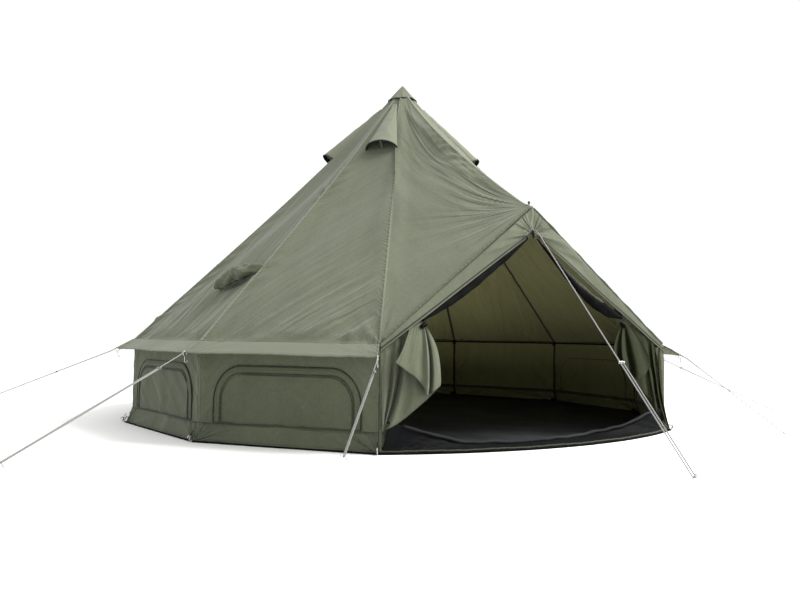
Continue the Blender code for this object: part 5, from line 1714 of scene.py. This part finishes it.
def hang_rings():
    """Rings and hooks at the eave's tips, and rings and webbing loops at the skirt's corners."""
    long_ring = steel_ring("skirt_ring_0", 0.017, 0.022)
    round_ring = steel_ring("eave_ring_0", 0.015, 0.004, 0.0024)
    hook = (
        (0, 0.004), (0.002, -0.012), (0.002, -0.030), (-0.006, -0.042), (-0.017, -0.040), (-0.020, -0.028),
    )
    loop = (
        (-0.006, 0.055), (0.006, 0.030), (0.016, 0.008), (0.012, -0.006), (0.0, 0.004), (-0.010, 0.030),
    )
    skirt, eave = [], []
    for index in range(SIDES + 1):
        out = corner(index, 1, 0)
        beside = out.cross(UP)
        seat = corner(index, HEM_RADIUS + 0.010, 0.022)
        place = frame_at(seat, beside, out * 0.9 + Vector((0, 0, -0.42)))
        skirt.append(copy_of(long_ring, f"skirt_ring_{index + 1}", place))
        tip = corner(index, TIP_RADIUS - 0.012, TIP_HEIGHT - 0.010)
        place = frame_at(tip, beside, Vector((0, 0, -1)))
        eave.append(copy_of(round_ring, f"eave_ring_{index + 1}", place))
        line = [tip + Vector((0, 0, -0.018)) + out * x + Vector((0, 0, z)) for x, z in hook]
        eave.append(tube(f"eave_hook_{index}", spline(line, 22), 0.0022, "galvanised_steel", sides=8))
        line = [seat - out * 0.006 + Vector((0, 0, 0.003)) + out * x + Vector((0, 0, z)) for x, z in loop]
        line = spline(line, 20)
        trim(f"skirt_loop_{index}", line, 0.0055, "black_webbing", "black_plastic", sides=8, flat=0.4)
    for made in (long_ring, round_ring):
        bpy.data.objects.remove(made)
    piece(joined("skirt_rings", skirt), "galvanised_steel")
    piece(joined("eave_rings", eave), "galvanised_steel")


def set_far_pegs():
    """The pegs at the back's four corners, each a turned copy of the CAD's peg at corner 7."""
    pattern = NODES["corner_peg_7"]
    for index in (3, 4, 5, 6):
        peg = copy_of(pattern, f"far_peg_{index}", pattern.matrix_world)
        work = bmesh.new()
        work.from_mesh(peg.data)
        bmesh.ops.remove_doubles(work, verts=work.verts, dist=1e-5)
        spin = Matrix.Rotation(corner_angle(index) - corner_angle(7), 4, "Z")
        bmesh.ops.transform(work, matrix=spin, verts=work.verts)
        work.to_mesh(peg.data)
        work.free()
        peg.data.materials.clear()
        peg.data.materials.append(FINISH["galvanised_steel"])
        alone(peg)
        bpy.ops.object.shade_smooth_by_angle(angle=math.radians(40))
        piece(peg, "galvanised_steel")


def welt_windows_inside():
    """The faint welt that follows each window's arch on the inside."""
    for index in WINDOW_SIDES:
        place = side_frame(index)
        line = [place @ Vector((x, y, -0.0095 - 0.002 * math.sin(9 * x))) for x, y in arch(-0.01)]
        trim(f"window_inner_welt_{index}", line, 0.0028, "welt_canvas", "window_canvas", sides=6)


def tape_inside():
    """The black tape over the eave's seam, and a patch at each corner's foot and head."""
    inside = WALL_RADIUS - 0.012
    runs = [[[corner(k, inside, h) for h in (0.692, 0.700, 0.708)] for k in range(SIDES + 1)]]
    for k in range(1, SIDES):
        spot = corner(k, inside, 0)
        a, b = (spot.lerp(corner(n, inside, 0), 0.026) for n in (k - 1, k + 1))
        patch = (a, spot, b)
        runs.append([[p + Vector((0, 0, h)) for h in (0.024, 0.04, 0.054)] for p in patch])
        runs.append([[p.lerp(spot, 0.4) + Vector((0, 0, h)) for h in (0.670, 0.69, 0.712)] for p in patch])
    parts = []
    for number, run in enumerate(runs):
        chart = np.stack(np.meshgrid(np.linspace(0, 0.03, 3), np.linspace(0, 12.0, len(run))), -1)
        strip, _ = sewn(f"tape_{number}", [grid_of((len(run), 3), run, chart)], "edge_tape", "edge_tape")
        thicken(strip, 0.0016, 0, 0.0)
        parts.append(strip)
    piece(joined("inner_tapes", parts), "black_plastic")


def sleeve_poles():
    """The black sleeves over the bends of the porch's poles."""
    across, behind = DOOR_HALF - 0.055, 0.0225
    height = PEAK.z + (EAVE_HEIGHT - PEAK.z) * across / DOOR_HALF - 0.045
    for side, hand in HANDS.items():
        elbow = Vector((side * across, door_depth(height) + behind, height))
        along = (Vector((0, PEAK.y + behind, PEAK.z - 0.075)) - elbow).normalized()
        before, after = elbow - Vector((0, 0, 0.06)), elbow + along * 0.06
        line = [before - Vector((0, 0, 0.04))] + rounded(before, elbow, after, 12) + [after + along * 0.04]
        trim(f"pole_sleeve_{hand}", line, 0.0140, "edge_tape", "black_plastic", sides=16)


def face_jamb():
    """The wall's strips that turn in round both corners of the doorway."""
    rows, columns = 30, 10
    for side, hand in HANDS.items():
        points, chart, seam = [], [], []
        for height in np.linspace(0.700, 0.02, rows):
            flare = max(0.0, (SKIRT_SEAM - height) / SKIRT_SEAM)
            post = corner(0 if side < 0 else SIDES, WALL_RADIUS + (HEM_RADIUS - WALL_RADIUS) * flare, height)
            into = Vector((-side, 0.10, 0)).normalized()
            for k in range(columns):
                share = k / (columns - 1)
                wide = (0.085 + 0.035 * smooth_step(height, 0.30, 0.15) + 0.050 * flare) * share
                crease = 0.006 * math.sin(24 * height + 9 * share) * share
                crease += 0.004 * math.sin(61 * height + 3 * side) * share
                bulge = -0.003 - 0.010 * math.sin(math.pi * share) + crease
                spot = post + into * wide + Vector((0, bulge, 0))
                spot -= DOOR_NORMAL * 0.016 * smooth_step(height, 0.60, 0.66)
                points.append(spot + DOOR_NORMAL * 0.004)
                chart.append((wide, height))
                seam.append(abs(wide - 0.014))
        hem = np.repeat(np.linspace(0.64, 0.0, rows), columns)
        grid = grid_of((rows, columns), points, chart, seam=seam, eave=1.0, hem=hem)
        # Its inner face takes the wall's inside colour, painted light for daylight through the cloth.
        jamb, _ = sewn(f"door_jamb_{hand}", [grid], "wall_canvas", "wall_lining")
        face(jamb, (0, -1, 0))
        thicken(jamb, 0.0018)
        piece(jamb, "wall_canvas")


place_camera()
mix_finishes()
string_guys()
dress_carried_nodes()
lay_floor()
hang_lights()
raise_canopy()
raise_wall()
trim_windows()
lay_groundsheet()
raise_threshold()
hang_door("door_cloth_left", DOOR_LEFT_KEYS, "door_flap_left")
hang_door("door_cloth_right", DOOR_RIGHT_KEYS, "door_flap_right")
tie_doors()
roll_nets()
gather_door_top()
raise_vents()
roll_stove_cover()
cap_apex()
finish_front()
pipe_fold()
hang_tab()
trim_peak()
hang_rings()
set_far_pegs()
welt_windows_inside()
face_jamb()
tape_inside()
sleeve_poles()
